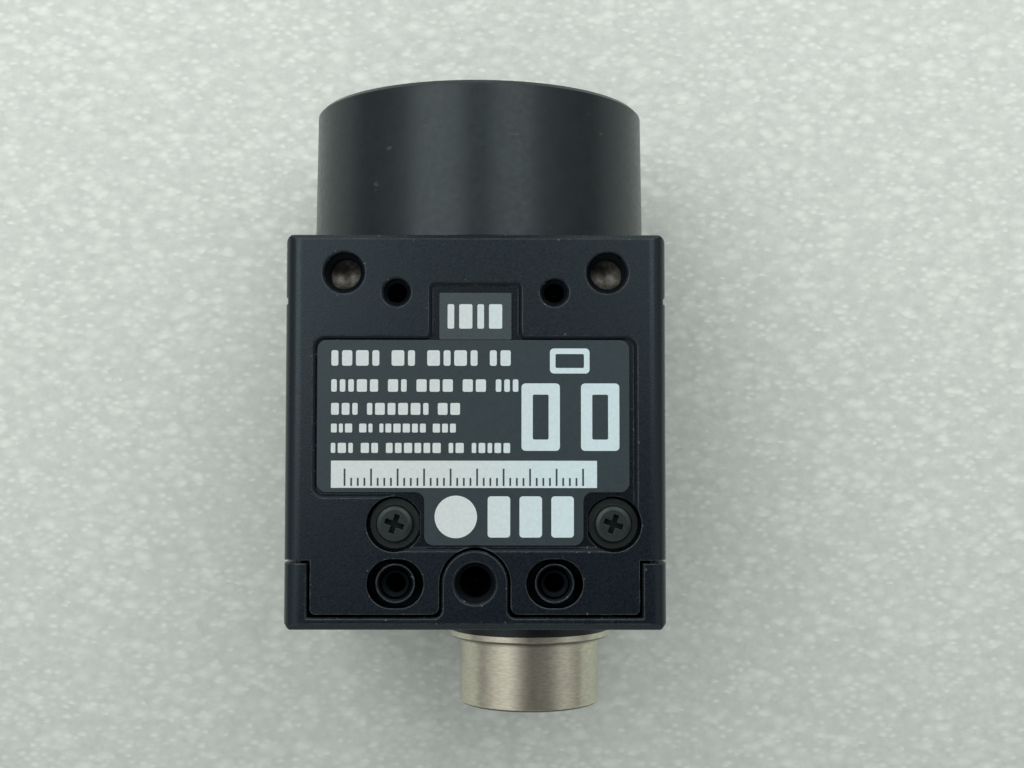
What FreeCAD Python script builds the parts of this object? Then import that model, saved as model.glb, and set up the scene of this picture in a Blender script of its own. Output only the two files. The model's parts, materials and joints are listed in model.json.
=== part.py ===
import FreeCAD, Part
import math
import os

# A cube-format machine vision camera, lying on its top cover with its mounting face up.
# Millimetres. The origin is the centre of the lens mount's flange on the optical axis.
# +Y points out of the lens mount, +Z out of the mounting face, +X to the right seen from above.

os.makedirs("parts", exist_ok=True)
Vector = FreeCAD.Vector
along_y = Vector(0, 1, 0)
along_z = Vector(0, 0, 1)
past = 1.0                    # how far a cutter runs past the face it opens
tolerance = 0.01              # when edges are picked by their place

# ---------------------------------------------------------------- driving dimensions

# Body envelope
body_width = 29.0
body_height = 29.0
body_length = 29.9
edge_radius = 1.3             # the four long edges
corner_radius = 0.72          # the upright corners beside the front face
front_bevel = 0.34            # the other front edges
rear_bevel = 0.5              # all rear edges

# Shell pieces
front_block_depth = 5.0       # solid front of the chassis, ahead of the cover
rear_panel_depth = 5.0        # rear casting, measured forward from the rear face
panel_seam = 0.25             # open seam between the rear panel and the pieces ahead of it
cover_wall = 1.0
plate_thickness = 2.2         # the mounting plate
groove_depth = 0.25           # V groove at the seam behind the front block
groove_half_width = 0.3
groove_end = 0.6              # where it runs out, below the mounting face
spigot_clearance = 0.1        # between a spigot and the cover around it
spigot_length = 1.4
spigot_wall = 1.0
press_clearance = 0.02

# Lens mount: 1 inch by 32 threads per inch, 17.526 mm flange focal distance
mount_radius = 12.7
mount_depth = 5.2
mount_ring_wall = 0.6
flange_proud = 3.0            # the ring's flange stands this far ahead of the body's front
flange_focal = 17.526
seat_radius = 12.0            # bore behind the thread, for the filter
filter_thickness = 1.0
retainer_thickness = 0.5
retainer_width = 1.5
optic_clearance = 0.1         # round the filter and its retainer
web_thickness = 1.0
aperture_radius = 9.5

# Mounting holes
m3_radius = 1.5
m2_radius = 1.0
m3_spacing = 20.0
m3_front_setback = 2.9
m2_spacing = 12.0
m2_front_setback = 4.4
rear_hole_setback = 3.5       # the rear holes, ahead of the rear face
m3_depth = 3.4
m2_depth = 2.3
mouth_chamfer = 0.16
drill_point_angle = 118.0

# Tongue of the chassis and the rear panel round it
ear_width = 1.88
tongue_gap = 0.22
tongue_end_gap = 0.25
tongue_corner = 0.4
rear_wall = 0.95
panel_side_wall = 1.88
boss_radius = 2.5
boss_gap = 0.2
boss_depth = 5.0
boss_fillet = 0.6
panel_rim_chamfer = 0.12      # on the edges that face the tongue
boss_hole_depth = 3.6
post_radius = 1.48
post_below_face = 0.2
post_hole_depth = 3.4
post_rim_chamfer = 0.4
post_root = 0.5               # of a post, below the mounting plate's underside
post_bar_margin = 0.1
slot_length = 4.3
slot_width = 3.7

# Cover screws in the mounting plate
screw_line = 2.95             # ahead of the rear panel's front
left_screw_x = -6.1
right_screw_margin = 4.05     # in from the body's side
screw_head_radius = 1.43
screw_head_height = 0.8
washer_radius = 1.9
washer_thickness = 0.25
screw_radius = 0.97
screw_length = 3.6            # under the washer
screw_tip_chamfer = 0.2
head_round_share = 0.45       # of a pan head's height
head_shoulder_share = 0.3     # of that rounding
washer_trim_gap = 0.08        # from the washer's flat to the counterbore's
counterbore_radius = 2.1
counterbore_flat = 1.93       # from the screw's axis to the flat beside the label
counterbore_depth = 1.35
recess_cross_length = 1.5
recess_cross_width = 0.42
recess_cross_depth = 0.45
recess_cross_turn = -20.0     # degrees
through_clearance = 0.18      # radial, of a screw in a plain hole

# Label recess and labels
recess_margin = 2.2           # from the body's side
recess_front = 7.7            # behind the front face
recess_step = 1.95            # its shallow left end, ahead of the screw line
recess_rear = 0.9             # its rear end, ahead of the rear panel
tab_half_width = 3.55
tab_front = 3.6
recess_depth = 0.3
recess_corner = 0.9
tab_corner = 0.5
label_thickness = 0.15
label_edge_gap = 0.05         # to the recess's floor edge at the front and left
label_right_gap = 0.35
label_rear_gap = 0.16
label_screw_gap = 0.35        # to each counterbore's flat
label_corner = 0.7
date_half_width = 2.73
date_front = 4.45
date_corner = 0.12

# Dust cap
cap_length = 12.13            # from the body's front face
cap_wall = 0.65
cap_draft = 0.8               # degrees
cap_front_wall = 1.05
cap_rim_bevel = 0.3
cap_fit_margin = 0.2          # of the straight bore past the mount ring

# Imaging stack behind the mount
chamber_flange_gap = 1.4      # to the front spigot
chamber_flange_thickness = 1.2
chamber_half_x = 8.5
chamber_half_z = 7.0
chamber_wall = 1.3
chamber_pocket_gap = 0.2
seal_thickness = 1.2
seal_wall = 1.9
package_half_x = 8.4
package_half_z = 6.6
package_thickness = 2.6
window_half_x = 6.1
window_half_z = 4.8
window_thickness = 0.55
window_clearance = 0.08
cavity_margin = 0.7
cavity_depth = 1.55
die_half_x = 4.1
die_half_z = 3.4
die_to_package_face = 1.1     # the image plane behind the package's front

# Boards and the frame that carries them
board_thickness = 1.0
board_top_gap = 3.7           # to the mounting plate's underside
board_bottom_gap = 1.1        # to the cover's inside
frame_thickness = 1.0
frame_lead = 0.4              # frame ahead of the sensor board
frame_post_radius = 1.4
frame_post_depth = 2.0
spacer_radius = 1.5
spacer_inset = 1.8            # from a board's edges
io_board_gap = 3.2            # behind the signal board
io_board_depth = 2.73         # its rear face ahead of the rear wall
io_board_top_gap = 0.3        # to the rear panel's boss
io_board_margin = 0.4         # to the rear panel's walls

# Rear panel screws
rear_spacer_radius = 1.7
rear_spacer_gap = 0.2         # to the arms of the board frame
rear_spacer_edge_gap = 0.3    # to the signal board's upper edge
rear_head_gap = 0.515         # from the upper right screw's head to the connector's ring
rear_spacer_bottom_gap = 1.0  # to the rear panel's lower wall
rear_spacer_dip_gap = 0.4     # to the switch bank
rear_spacer_clearance = 0.2   # radial, through the input board
rear_head_radius = 1.75
rear_head_height = 0.7
rear_screw_length = 4.0
rear_cross_length = 2.0
rear_cross_width = 0.42
rear_cross_depth = 0.5

# Camera connector
connector_side_gap = 1.42     # from its nut to the rear panel's side wall
connector_ring_radius = 6.79
connector_ring_thickness = 1.6
connector_flange_thickness = 0.6
connector_edge_chamfer = 0.15
barrel_radius = 5.9
barrel_length = 5.55
shank_radius = 5.5
shell_bore_radius = 5.0
shell_clearance = 0.1
shank_behind_wall = 1.6
insert_thickness = 2.6
insert_set_back = 0.5         # of the insert's face, behind the rear panel's face
pin_radius = 0.35
pin_length = 3.1
outer_pin_circle = 3.4
outer_pins = 9
inner_pin_circle = 1.3
inner_pins = 3
key_width = 1.2
key_height = 0.55
key_setback = 1.15
nut_radius = 6.9
nut_thickness = 1.2
nut_slots = 4
nut_slot_width = 1.2
nut_slot_depth = 0.7
nut_slot_turn = 45.0          # degrees

# Rear panel controls
control_side_gap = 0.42       # from the switch bank to the rear panel's side wall
control_clearance = 0.15      # round a control in its window
window_past = 0.2             # of a window's cutter, past the rear wall
dip_positions = 10
dip_pitch = 1.27
dip_width = 5.2
dip_end = 0.95                # past the first and last lever
dip_gap = 1.385               # above the slide switches
dip_below_face = 0.5
dip_slot_length = 2.3
dip_slot_width = 0.76
dip_slot_depth = 0.9
dip_lever_length = 1.1
dip_lever_width = 0.6
dip_lever_proud = 0.35
slide_end_gap = 0.1
slide_floor_gap = 0.05
trimmer_gap = 0.75            # above the switch bank's window
trimmer_width = 3.6
trimmer_rotor_radius = 1.5
trimmer_below_face = 0.7
trimmer_pocket_depth = 0.85
running_clearance = 0.05
driver_slot_width = 0.5
driver_slot_depth = 0.4
switch_side_gap = 0.37        # from the slide switches to the rear panel's lower wall
switch_pair_gap = 1.0
switch_body_length = 5.0
switch_body_height = 2.7
switch_wall_gap = 0.25        # switch body to the rear wall
switch_slot_length = 3.3
switch_slot_height = 1.5
switch_slot_depth = 0.9
knob_length = 1.5
knob_height = 1.3
knob_proud = 0.4

# ---------------------------------------------------------------- derived places

side_x = body_width / 2
face_z = body_height / 2
top_cover_z = -body_height / 2
plate_z = face_z - plate_thickness
front_y = -flange_proud
rear_y = front_y - body_length


def behind(distance):
    """The y of a place this far behind the body's front face."""
    return front_y - distance


panel_front = body_length - rear_panel_depth
cover_rear = panel_front - panel_seam
rear_hole_line = body_length - rear_hole_setback
cover_inner_x = side_x - cover_wall
cover_inner_z = top_cover_z + cover_wall
spigot_x = cover_inner_x - spigot_clearance
spigot_z = cover_inner_z + spigot_clearance
tongue_x = side_x - ear_width - tongue_gap
tongue_end = body_length - rear_wall - tongue_end_gap
panel_inner_x = side_x - panel_side_wall
panel_inner_z = top_cover_z + panel_side_wall
wall_front = body_length - rear_wall
boss_z = face_z - boss_depth
screw_setback = panel_front - screw_line
right_screw_x = side_x - right_screw_margin
screw_xs = [left_screw_x, right_screw_x]
counterbore_z = face_z - counterbore_depth

mount_ring_radius = mount_radius + mount_ring_wall
seat_y = -mount_depth
filter_front_y = seat_y - retainer_thickness
web_y = filter_front_y - filter_thickness
web_rear_y = web_y - web_thickness
image_y = -flange_focal
package_front_y = image_y + die_to_package_face
package_rear_y = package_front_y - package_thickness
seal_front_y = package_front_y + seal_thickness
sensor_board_rear_y = package_rear_y - board_thickness
rear_wall_y = behind(wall_front)
io_board_rear_y = rear_wall_y + io_board_depth
io_board_y = io_board_rear_y + board_thickness
signal_board_rear_y = io_board_y + io_board_gap
signal_board_y = signal_board_rear_y + board_thickness
chamber_flange_half_x = spigot_x - spigot_wall - chamber_flange_gap
chamber_flange_half_z = -spigot_z - spigot_wall - chamber_flange_gap
frame_inner_x = spigot_x - frame_thickness
board_bottom = cover_inner_z + board_bottom_gap
board_top = plate_z - board_top_gap
io_board_top = boss_z - io_board_top_gap
frame_front_y = package_rear_y + frame_lead
panel_spigot_y = behind(panel_front - spigot_length)
frame_rear_y = panel_spigot_y + spigot_clearance
screw_y = behind(screw_setback)
rear_hole_y = behind(rear_hole_line)

connector_x = panel_inner_x - connector_side_gap - nut_radius
ring_rear_y = rear_y - connector_ring_thickness
flange_rear_y = ring_rear_y - connector_flange_thickness
mouth_y = flange_rear_y - barrel_length
insert_face_y = rear_y - insert_set_back
insert_inner_y = insert_face_y + insert_thickness

control_x = -panel_inner_x + control_side_gap + dip_width / 2
termination_x = control_x + switch_body_length + switch_pair_gap
switch_z = panel_inner_z + switch_side_gap + switch_body_height / 2
dip_length = (dip_positions - 1) * dip_pitch + 2 * dip_end
dip_z = switch_z + switch_body_height / 2 + dip_gap + dip_length / 2
dip_face_y = rear_y + dip_below_face
trimmer_z = dip_z + dip_length / 2 + trimmer_gap + trimmer_rotor_radius
control_front_y = rear_wall_y + switch_wall_gap
rear_screw_x = frame_inner_x - rear_spacer_gap - rear_spacer_radius
rear_screw_reach = connector_ring_radius + rear_head_gap + rear_head_radius
rear_screw_high = math.sqrt(rear_screw_reach**2 - (rear_screw_x - connector_x) ** 2)
rear_screw_left_high = board_top - rear_spacer_edge_gap - rear_spacer_radius
rear_screw_low = panel_inner_z + rear_spacer_bottom_gap + rear_spacer_radius
rear_screw_left = control_x + dip_width / 2 + rear_spacer_dip_gap + rear_spacer_radius
rear_screw_places = [
    (rear_screw_x, rear_screw_high),
    (rear_screw_x, rear_screw_low),
    (rear_screw_left, rear_screw_left_high),
]

# ---------------------------------------------------------------- shape helpers


def box(x_low, x_high, y_low, y_high, z_low, z_high):
    corner = Vector(x_low, y_low, z_low)
    return Part.makeBox(x_high - x_low, y_high - y_low, z_high - z_low, corner)


def rod_y(radius, y_low, y_high, x=0.0, z=0.0):
    return Part.makeCylinder(radius, y_high - y_low, Vector(x, y_low, z), along_y)


def rod_z(radius, z_low, z_high, x, y):
    return Part.makeCylinder(radius, z_high - z_low, Vector(x, y, z_low), along_z)


def tube_y(outer, inner, y_low, y_high, x=0.0, z=0.0):
    return rod_y(outer, y_low, y_high, x, z).cut(rod_y(inner, y_low - past, y_high + past, x, z))


def rounded_wire(points, place):
    """A closed wire through points (a, b, radius), each corner rounded by a tangent arc.

    place(a, b) gives the corner's position in space.
    """
    starts, mids, ends = [], [], []
    count = len(points)
    for i, (a, b, radius) in enumerate(points):
        corner = place(a, b)
        to_last = place(*points[i - 1][:2]) - corner
        to_next = place(*points[(i + 1) % count][:2]) - corner
        to_last.normalize()
        to_next.normalize()
        half_angle = to_last.getAngle(to_next) / 2
        reach = radius / math.tan(half_angle)
        middle = to_last + to_next
        middle.normalize()
        starts.append(corner + to_last * reach)
        ends.append(corner + to_next * reach)
        mids.append(corner + middle * (radius / math.sin(half_angle) - radius))
    edges = []
    for i in range(count):
        if (starts[i] - ends[i]).Length > 1e-6:
            edges.append(Part.Arc(starts[i], mids[i], ends[i]).toShape())
        follower = starts[(i + 1) % count]
        if (follower - ends[i]).Length > 1e-6:
            edges.append(Part.makeLine(ends[i], follower))
    return Part.Wire(edges)


def plan_wire(points, z):
    return rounded_wire(points, lambda x, y: Vector(x, y, z))


def section_wire(points, y):
    return rounded_wire(points, lambda x, z: Vector(x, y, z))


def plan_prism(points, z_low, z_high):
    return Part.Face(plan_wire(points, z_low)).extrude(Vector(0, 0, z_high - z_low))


def section_prism(points, y_low, y_high):
    return Part.Face(section_wire(points, y_low)).extrude(Vector(0, y_high - y_low, 0))


def rectangle(a_low, a_high, b_low, b_high, radius=0.0):
    return [
        (a_low, b_low, radius),
        (a_high, b_low, radius),
        (a_high, b_high, radius),
        (a_low, b_high, radius),
    ]


def turned(profile, x=0.0, z=0.0):
    """A solid of revolution about a line along Y, from (radius, y) points."""
    corners = [Vector(x + radius, y, z) for radius, y in profile]
    face = Part.Face(Part.makePolygon(corners + corners[:1]))
    return face.revolve(Vector(x, 0, z), along_y, 360)


def turned_upright(profile, x, y):
    """A solid of revolution about a line along Z, from (radius, z) points."""
    corners = [Vector(x + radius, y, z) for radius, z in profile]
    face = Part.Face(Part.makePolygon(corners + corners[:1]))
    return face.revolve(Vector(x, y, 0), along_z, 360)


def joined(shapes):
    first, *others = shapes
    if others:
        first = first.multiFuse(others)
    return first.removeSplitter()


def without(shape, tools):
    return shape.cut(tools).removeSplitter()


def tapped_hole(radius, depth, x, y, z):
    """The cutter for a blind hole down from z, with a small mouth chamfer and a drill point."""
    point = radius / math.tan(math.radians(drill_point_angle / 2))
    profile = [
        (0, z + past),
        (radius + mouth_chamfer, z + past),
        (radius + mouth_chamfer, z),
        (radius, z - mouth_chamfer),
        (radius, z - depth),
        (0, z - depth - point),
    ]
    return turned_upright(profile, x, y)


def cross_recess(length, width, depth):
    """A cross cutter at the origin, going down from z = 0."""
    arm = box(-length / 2, length / 2, -width / 2, width / 2, -depth, 1)
    other = arm.copy()
    other.rotate(Vector(0, 0, 0), along_z, 90)
    return arm.fuse(other)


def save(name, shape):
    if shape.ShapeType == "Compound" and len(shape.Solids) == 1:
        shape = shape.Solids[0]
    shape.exportStep("parts/" + name + ".step")


# ---------------------------------------------------------------- shell


def body_section(inset=0.0):
    return rectangle(
        -side_x + inset,
        side_x - inset,
        top_cover_z + inset,
        face_z - inset,
        edge_radius,
    )


def spigot_section(inset):
    """A spigot inside the cover, open against the mounting plate."""
    radius = max(edge_radius / 2 - inset, 0)
    return [
        (-spigot_x + inset, plate_z, 0),
        (-spigot_x + inset, spigot_z + inset, radius),
        (spigot_x - inset, spigot_z + inset, radius),
        (spigot_x - inset, plate_z, 0),
    ]


def body_envelope():
    """The outside of the closed body: rounded long edges and front corners, bevelled ends."""
    full = section_prism(body_section(), rear_y, front_y)
    plan = [
        (-side_x, rear_y + rear_bevel, 0),
        (-side_x + rear_bevel, rear_y, 0),
        (side_x - rear_bevel, rear_y, 0),
        (side_x, rear_y + rear_bevel, 0),
        (side_x, front_y, corner_radius),
        (-side_x, front_y, corner_radius),
    ]
    profile = [
        (rear_y + rear_bevel, top_cover_z),
        (rear_y, top_cover_z + rear_bevel),
        (rear_y, face_z - rear_bevel),
        (rear_y + rear_bevel, face_z),
        (front_y - front_bevel, face_z),
        (front_y, face_z - front_bevel),
        (front_y, top_cover_z + front_bevel),
        (front_y - front_bevel, top_cover_z),
    ]
    corners = [Vector(-side_x, y, z) for y, z in profile]
    side_view = Part.Face(Part.makePolygon(corners + corners[:1]))
    side_prism = side_view.extrude(Vector(body_width, 0, 0))
    return full.common(plan_prism(plan, top_cover_z, face_z)).common(side_prism)


def seam_groove():
    """The cutter for the V groove behind the front block, round the sides and the top cover."""
    middle_y = behind(front_block_depth)
    front = section_wire(body_section(), middle_y + groove_half_width)
    middle = section_wire(body_section(groove_depth), middle_y)
    rear = section_wire(body_section(), middle_y - groove_half_width)
    outer = box(
        -side_x - past,
        side_x + past,
        middle_y - groove_half_width,
        middle_y + groove_half_width,
        top_cover_z - past,
        face_z - groove_end,
    )
    front_taper = Part.makeLoft([front, middle], True, True)
    rear_taper = Part.makeLoft([middle, rear], True, True)
    return outer.cut(front_taper).cut(rear_taper)


def boss_points(radius, fillet, mouth_y):
    """A U round the rear M3 hole, open towards the rear, with flared corners at its mouth."""
    wide = radius + 2 * fillet
    end_y = mouth_y - fillet / 2
    tip = rear_hole_y + radius
    return [
        (-wide, end_y, 0),
        (-wide, mouth_y, 0),
        (-radius, mouth_y, fillet),
        (-radius, tip, radius),
        (radius, tip, radius),
        (radius, mouth_y, fillet),
        (wide, mouth_y, 0),
        (wide, end_y, 0),
    ]


def post_slot(x):
    half_length = slot_length / 2
    half_width = slot_width / 2
    points = rectangle(
        x - half_length,
        x + half_length,
        rear_hole_y - half_width,
        rear_hole_y + half_width,
        half_width,
    )
    return plan_prism(points, plate_z - past, face_z + past)


def recess_points(inset):
    """The label recess, inset from its edge at the mounting face."""
    half_width = side_x - recess_margin - inset
    tab = tab_half_width - inset
    front = behind(recess_front) - inset
    rear = behind(panel_front - recess_rear) + inset
    step = behind(screw_setback - recess_step) + inset
    corner = recess_corner - inset
    inner_corner = tab_corner / 2 + inset
    return [
        (-half_width, front, corner),
        (-tab, front, inner_corner),
        (-tab, behind(tab_front) - inset, tab_corner - inset),
        (tab, behind(tab_front) - inset, tab_corner - inset),
        (tab, front, inner_corner),
        (half_width, front, corner),
        (half_width, screw_y, 0),
        (right_screw_x, rear, 0),
        (left_screw_x, rear, 0),
        (left_screw_x, step, 0),
        (-half_width, step, corner),
    ]


def recess_cutter():
    upper = plan_wire(recess_points(0), face_z)
    lower = plan_wire(recess_points(recess_depth), face_z - recess_depth)
    return Part.makeLoft([upper, lower], True, True)


def counterbore(x, label_side):
    """A D-shaped pocket: round, with a flat on the side of the label."""
    pocket = rod_z(counterbore_radius, counterbore_z, face_z + past, x, screw_y)
    reach = counterbore_radius + past
    flat = box(
        counterbore_flat,
        reach,
        -reach,
        reach,
        counterbore_z - past,
        face_z + 2,
    )
    if label_side < 0:
        flat.rotate(Vector(0, 0, 0), along_z, 180)
    flat.translate(Vector(x, screw_y, 0))
    hole = rod_z(screw_radius + through_clearance, plate_z - past, face_z, x, screw_y)
    return pocket.cut(flat).fuse(hole)


def chassis():
    """Front block with the lens mount, mounting plate and tongue, in one casting."""
    envelope = body_envelope()
    block = box(-side_x, side_x, behind(front_block_depth), front_y, top_cover_z, face_z)
    plate = box(-side_x, side_x, behind(cover_rear), front_y, plate_z, face_z)
    shell = envelope.common(block.fuse(plate))
    tongue_points = [
        (-tongue_x, behind(tongue_end), tongue_corner),
        (tongue_x, behind(tongue_end), tongue_corner),
        (tongue_x, screw_y, 0),
        (-tongue_x, screw_y, 0),
    ]
    tongue = plan_prism(tongue_points, plate_z, face_z)
    block_rear_y = behind(front_block_depth)
    spigot = section_prism(spigot_section(0), block_rear_y - spigot_length, block_rear_y)
    spigot_inside = section_prism(
        spigot_section(spigot_wall), block_rear_y - spigot_length, block_rear_y
    )
    solid = joined([shell, tongue, spigot.cut(spigot_inside)])

    pocket_x = chamber_flange_half_x + chamber_pocket_gap
    pocket_z = chamber_flange_half_z + chamber_pocket_gap
    cutters = [
        rod_y(mount_ring_radius + press_clearance, seat_y, 1),
        rod_y(seat_radius, web_y, seat_y + past),
        rod_y(aperture_radius, block_rear_y - past, web_y + past),
        box(-pocket_x, pocket_x, block_rear_y - past, web_rear_y, -pocket_z, pocket_z),
        seam_groove(),
        recess_cutter(),
        counterbore(left_screw_x, 1),
        counterbore(right_screw_x, -1),
        plan_prism(
            boss_points(boss_radius + boss_gap, boss_fillet, behind(tongue_end)),
            plate_z - past,
            face_z + past,
        ),
    ]
    for side in (-1, 1):
        m3_x = side * m3_spacing / 2
        m2_x = side * m2_spacing / 2
        cutters.append(tapped_hole(m3_radius, m3_depth, m3_x, behind(m3_front_setback), face_z))
        cutters.append(tapped_hole(m2_radius, m2_depth, m2_x, behind(m2_front_setback), face_z))
        cutters.append(post_slot(m2_x))
    return without(solid, cutters)


def top_cover():
    """The U-shaped cover round the sides and the top, open towards the mounting plate."""
    zone = box(
        -side_x,
        side_x,
        behind(cover_rear),
        behind(front_block_depth),
        top_cover_z,
        plate_z,
    )
    inside = section_prism(
        [
            (-cover_inner_x, plate_z + past, 0),
            (-cover_inner_x, cover_inner_z, edge_radius / 2),
            (cover_inner_x, cover_inner_z, edge_radius / 2),
            (cover_inner_x, plate_z + past, 0),
        ],
        rear_y,
        front_y,
    )
    return without(body_envelope().common(zone), [inside, seam_groove()])


def rear_windows():
    """The openings in the rear wall, each from the size of what shows through it."""
    y_low = rear_y - past
    y_high = rear_wall_y + window_past
    half_dip_x = dip_width / 2 + control_clearance
    half_dip_z = dip_length / 2 + control_clearance
    windows = [
        rod_y(shank_radius + shell_clearance, y_low, y_high, connector_x, 0),
        rod_y(trimmer_rotor_radius + control_clearance, y_low, y_high, control_x, trimmer_z),
        box(
            control_x - half_dip_x,
            control_x + half_dip_x,
            y_low,
            y_high,
            dip_z - half_dip_z,
            dip_z + half_dip_z,
        ),
    ]
    half_slot_x = switch_slot_length / 2
    half_slot_z = switch_slot_height / 2
    for x in (control_x, termination_x):
        windows.append(
            box(
                x - half_slot_x,
                x + half_slot_x,
                y_low,
                y_high,
                switch_z - half_slot_z,
                switch_z + half_slot_z,
            )
        )
    for x, z in rear_screw_places:
        windows.append(rod_y(screw_radius + through_clearance, y_low, y_high, x, z))
    return windows


def chamfered_rim(shell):
    """The shell with a chamfer on the mounting face's edges round the tongue."""
    rim = []
    for edge in shell.Edges:
        ends = [vertex.Point for vertex in edge.Vertexes]
        level = all(abs(end.z - face_z) < tolerance for end in ends)
        inside = all(abs(end.x) < panel_inner_x + tolerance for end in ends)
        ahead = all(end.y > rear_y + rear_bevel + tolerance for end in ends)
        if level and inside and ahead:
            rim.append(edge)
    return shell.makeChamfer(panel_rim_chamfer, rim)


def rear_panel():
    """The rear casting: rear wall, side walls with ears, M3 boss and M2 posts."""
    zone = box(-side_x, side_x, rear_y, behind(panel_front), top_cover_z, face_z)
    cavity = section_prism(
        [
            (-panel_inner_x, face_z + past, 0),
            (-panel_inner_x, panel_inner_z, edge_radius / 2),
            (panel_inner_x, panel_inner_z, edge_radius / 2),
            (panel_inner_x, face_z + past, 0),
        ],
        rear_wall_y,
        behind(panel_front) + past,
    )
    shell = without(body_envelope().common(zone), [cavity])

    spigot_outer = section_prism(spigot_section(0), behind(panel_front), panel_spigot_y)
    spigot_inner = box(
        -panel_inner_x,
        panel_inner_x,
        behind(panel_front),
        panel_spigot_y,
        panel_inner_z,
        plate_z + past,
    )
    boss = plan_prism(boss_points(boss_radius, boss_fillet, rear_wall_y), boss_z, face_z)
    bar_x = m2_spacing / 2 + post_radius + post_bar_margin
    bar = box(-bar_x, bar_x, rear_wall_y, rear_hole_y + post_radius, boss_z, plate_z)
    post_z = face_z - post_below_face
    pieces = [chamfered_rim(joined([shell, boss])), spigot_outer.cut(spigot_inner), bar]
    holes = [tapped_hole(m3_radius, boss_hole_depth, 0, rear_hole_y, face_z)]
    for side in (-1, 1):
        x = side * m2_spacing / 2
        post = rod_z(post_radius, plate_z - post_root, post_z, x, rear_hole_y)
        pieces.append(post)
        holes.append(tapped_hole(m2_radius, post_hole_depth, x, rear_hole_y, post_z))
        rim = [
            (0, post_z + past),
            (m2_radius + post_rim_chamfer + past, post_z + past),
            (m2_radius, post_z - post_rim_chamfer),
            (0, post_z - post_rim_chamfer),
        ]
        holes.append(turned_upright(rim, x, rear_hole_y))
    return without(joined(pieces), holes + rear_windows())


# ---------------------------------------------------------------- screws and labels


def plate_screw(x):
    """A pan-head screw with a captive washer, in its counterbore."""
    head_low = counterbore_z + washer_thickness
    head_top = head_low + screw_head_height
    round_off = screw_head_height * head_round_share
    shoulder = round_off * head_shoulder_share
    profile = [
        (0, counterbore_z - screw_length),
        (screw_radius - screw_tip_chamfer, counterbore_z - screw_length),
        (screw_radius, counterbore_z - screw_length + screw_tip_chamfer),
        (screw_radius, counterbore_z),
        (washer_radius, counterbore_z),
        (washer_radius, head_low),
        (screw_head_radius, head_low),
        (screw_head_radius, head_top - round_off),
        (screw_head_radius - shoulder, head_top - shoulder),
        (screw_head_radius - round_off, head_top),
        (0, head_top),
    ]
    cutter = cross_recess(recess_cross_length, recess_cross_width, recess_cross_depth)
    cutter.rotate(Vector(0, 0, 0), along_z, recess_cross_turn)
    cutter.translate(Vector(x, screw_y, head_top))
    washer_side = 1 if x < 0 else -1
    reach = washer_radius + past
    trim = box(counterbore_flat - washer_trim_gap, reach, -reach, reach, counterbore_z, head_low)
    if washer_side < 0:
        trim.rotate(Vector(0, 0, 0), along_z, 180)
    trim.translate(Vector(x, screw_y, 0))
    return without(turned_upright(profile, x, screw_y), [cutter, trim])


def rear_screw(x, z):
    """A pan-head screw through the rear wall."""
    head_y = rear_y - rear_head_height
    round_off = rear_head_height * head_round_share
    shoulder = round_off * head_shoulder_share
    profile = [
        (0, rear_y + rear_screw_length),
        (screw_radius - screw_tip_chamfer, rear_y + rear_screw_length),
        (screw_radius, rear_y + rear_screw_length - screw_tip_chamfer),
        (screw_radius, rear_y),
        (rear_head_radius, rear_y),
        (rear_head_radius, head_y + round_off),
        (rear_head_radius - shoulder, head_y + shoulder),
        (rear_head_radius - round_off, head_y),
        (0, head_y),
    ]
    cutter = cross_recess(rear_cross_length, rear_cross_width, rear_cross_depth)
    cutter.rotate(Vector(0, 0, 0), Vector(1, 0, 0), 90)
    cutter.translate(Vector(x, head_y, z))
    return without(turned(profile, x, z), [cutter])


def rating_label():
    """The sticker on the recess's floor, hollowed round both screws."""
    floor_z = face_z - recess_depth
    floor_x = side_x - recess_margin - recess_depth
    left = -floor_x + label_edge_gap
    right = floor_x - label_right_gap
    front = behind(recess_front + recess_depth + label_edge_gap)
    step = behind(screw_setback - recess_step - recess_depth - label_rear_gap)
    rear = behind(panel_front - recess_rear - recess_depth - label_rear_gap)
    tail_left = left_screw_x + counterbore_flat + label_screw_gap
    tail_right = right_screw_x - counterbore_flat - label_screw_gap
    points = [
        (left, front, label_corner),
        (right, front, label_corner),
        (right, step, label_corner),
        (tail_right, step, label_corner),
        (tail_right, rear, label_corner),
        (tail_left, rear, label_corner),
        (tail_left, step, label_corner),
        (left, step, label_corner),
    ]
    notch = plan_prism(
        boss_points(boss_radius + 2 * boss_gap, boss_fillet, behind(tongue_end)),
        floor_z - past,
        face_z,
    )
    return plan_prism(points, floor_z, floor_z + label_thickness).cut(notch)


def date_label():
    floor_z = face_z - recess_depth
    points = rectangle(
        -date_half_width,
        date_half_width,
        behind(recess_front + recess_depth),
        behind(date_front),
        date_corner,
    )
    return plan_prism(points, floor_z, floor_z + label_thickness)


# ---------------------------------------------------------------- dust cap


def dust_cap():
    """A thin moulded cap with draft, pushed over the mount ring onto the body's front face."""
    slope = math.tan(math.radians(cap_draft))
    bore_radius = mount_ring_radius + running_clearance
    rim_radius = bore_radius + cap_wall
    front_radius = rim_radius - cap_length * slope
    front = front_y + cap_length
    ceiling = front - cap_front_wall
    bore_end = cap_fit_margin
    ceiling_radius = rim_radius - (ceiling - front_y) * slope - cap_wall
    profile = [
        (0, front),
        (front_radius - cap_rim_bevel, front),
        (front_radius, front - cap_rim_bevel),
        (rim_radius, front_y),
        (bore_radius, front_y),
        (bore_radius, bore_end),
        (ceiling_radius, ceiling),
        (0, ceiling),
    ]
    return turned(profile)


def lens_mount_ring():
    return tube_y(mount_ring_radius, mount_radius, seat_y, 0)


# ---------------------------------------------------------------- optics and sensor


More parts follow.
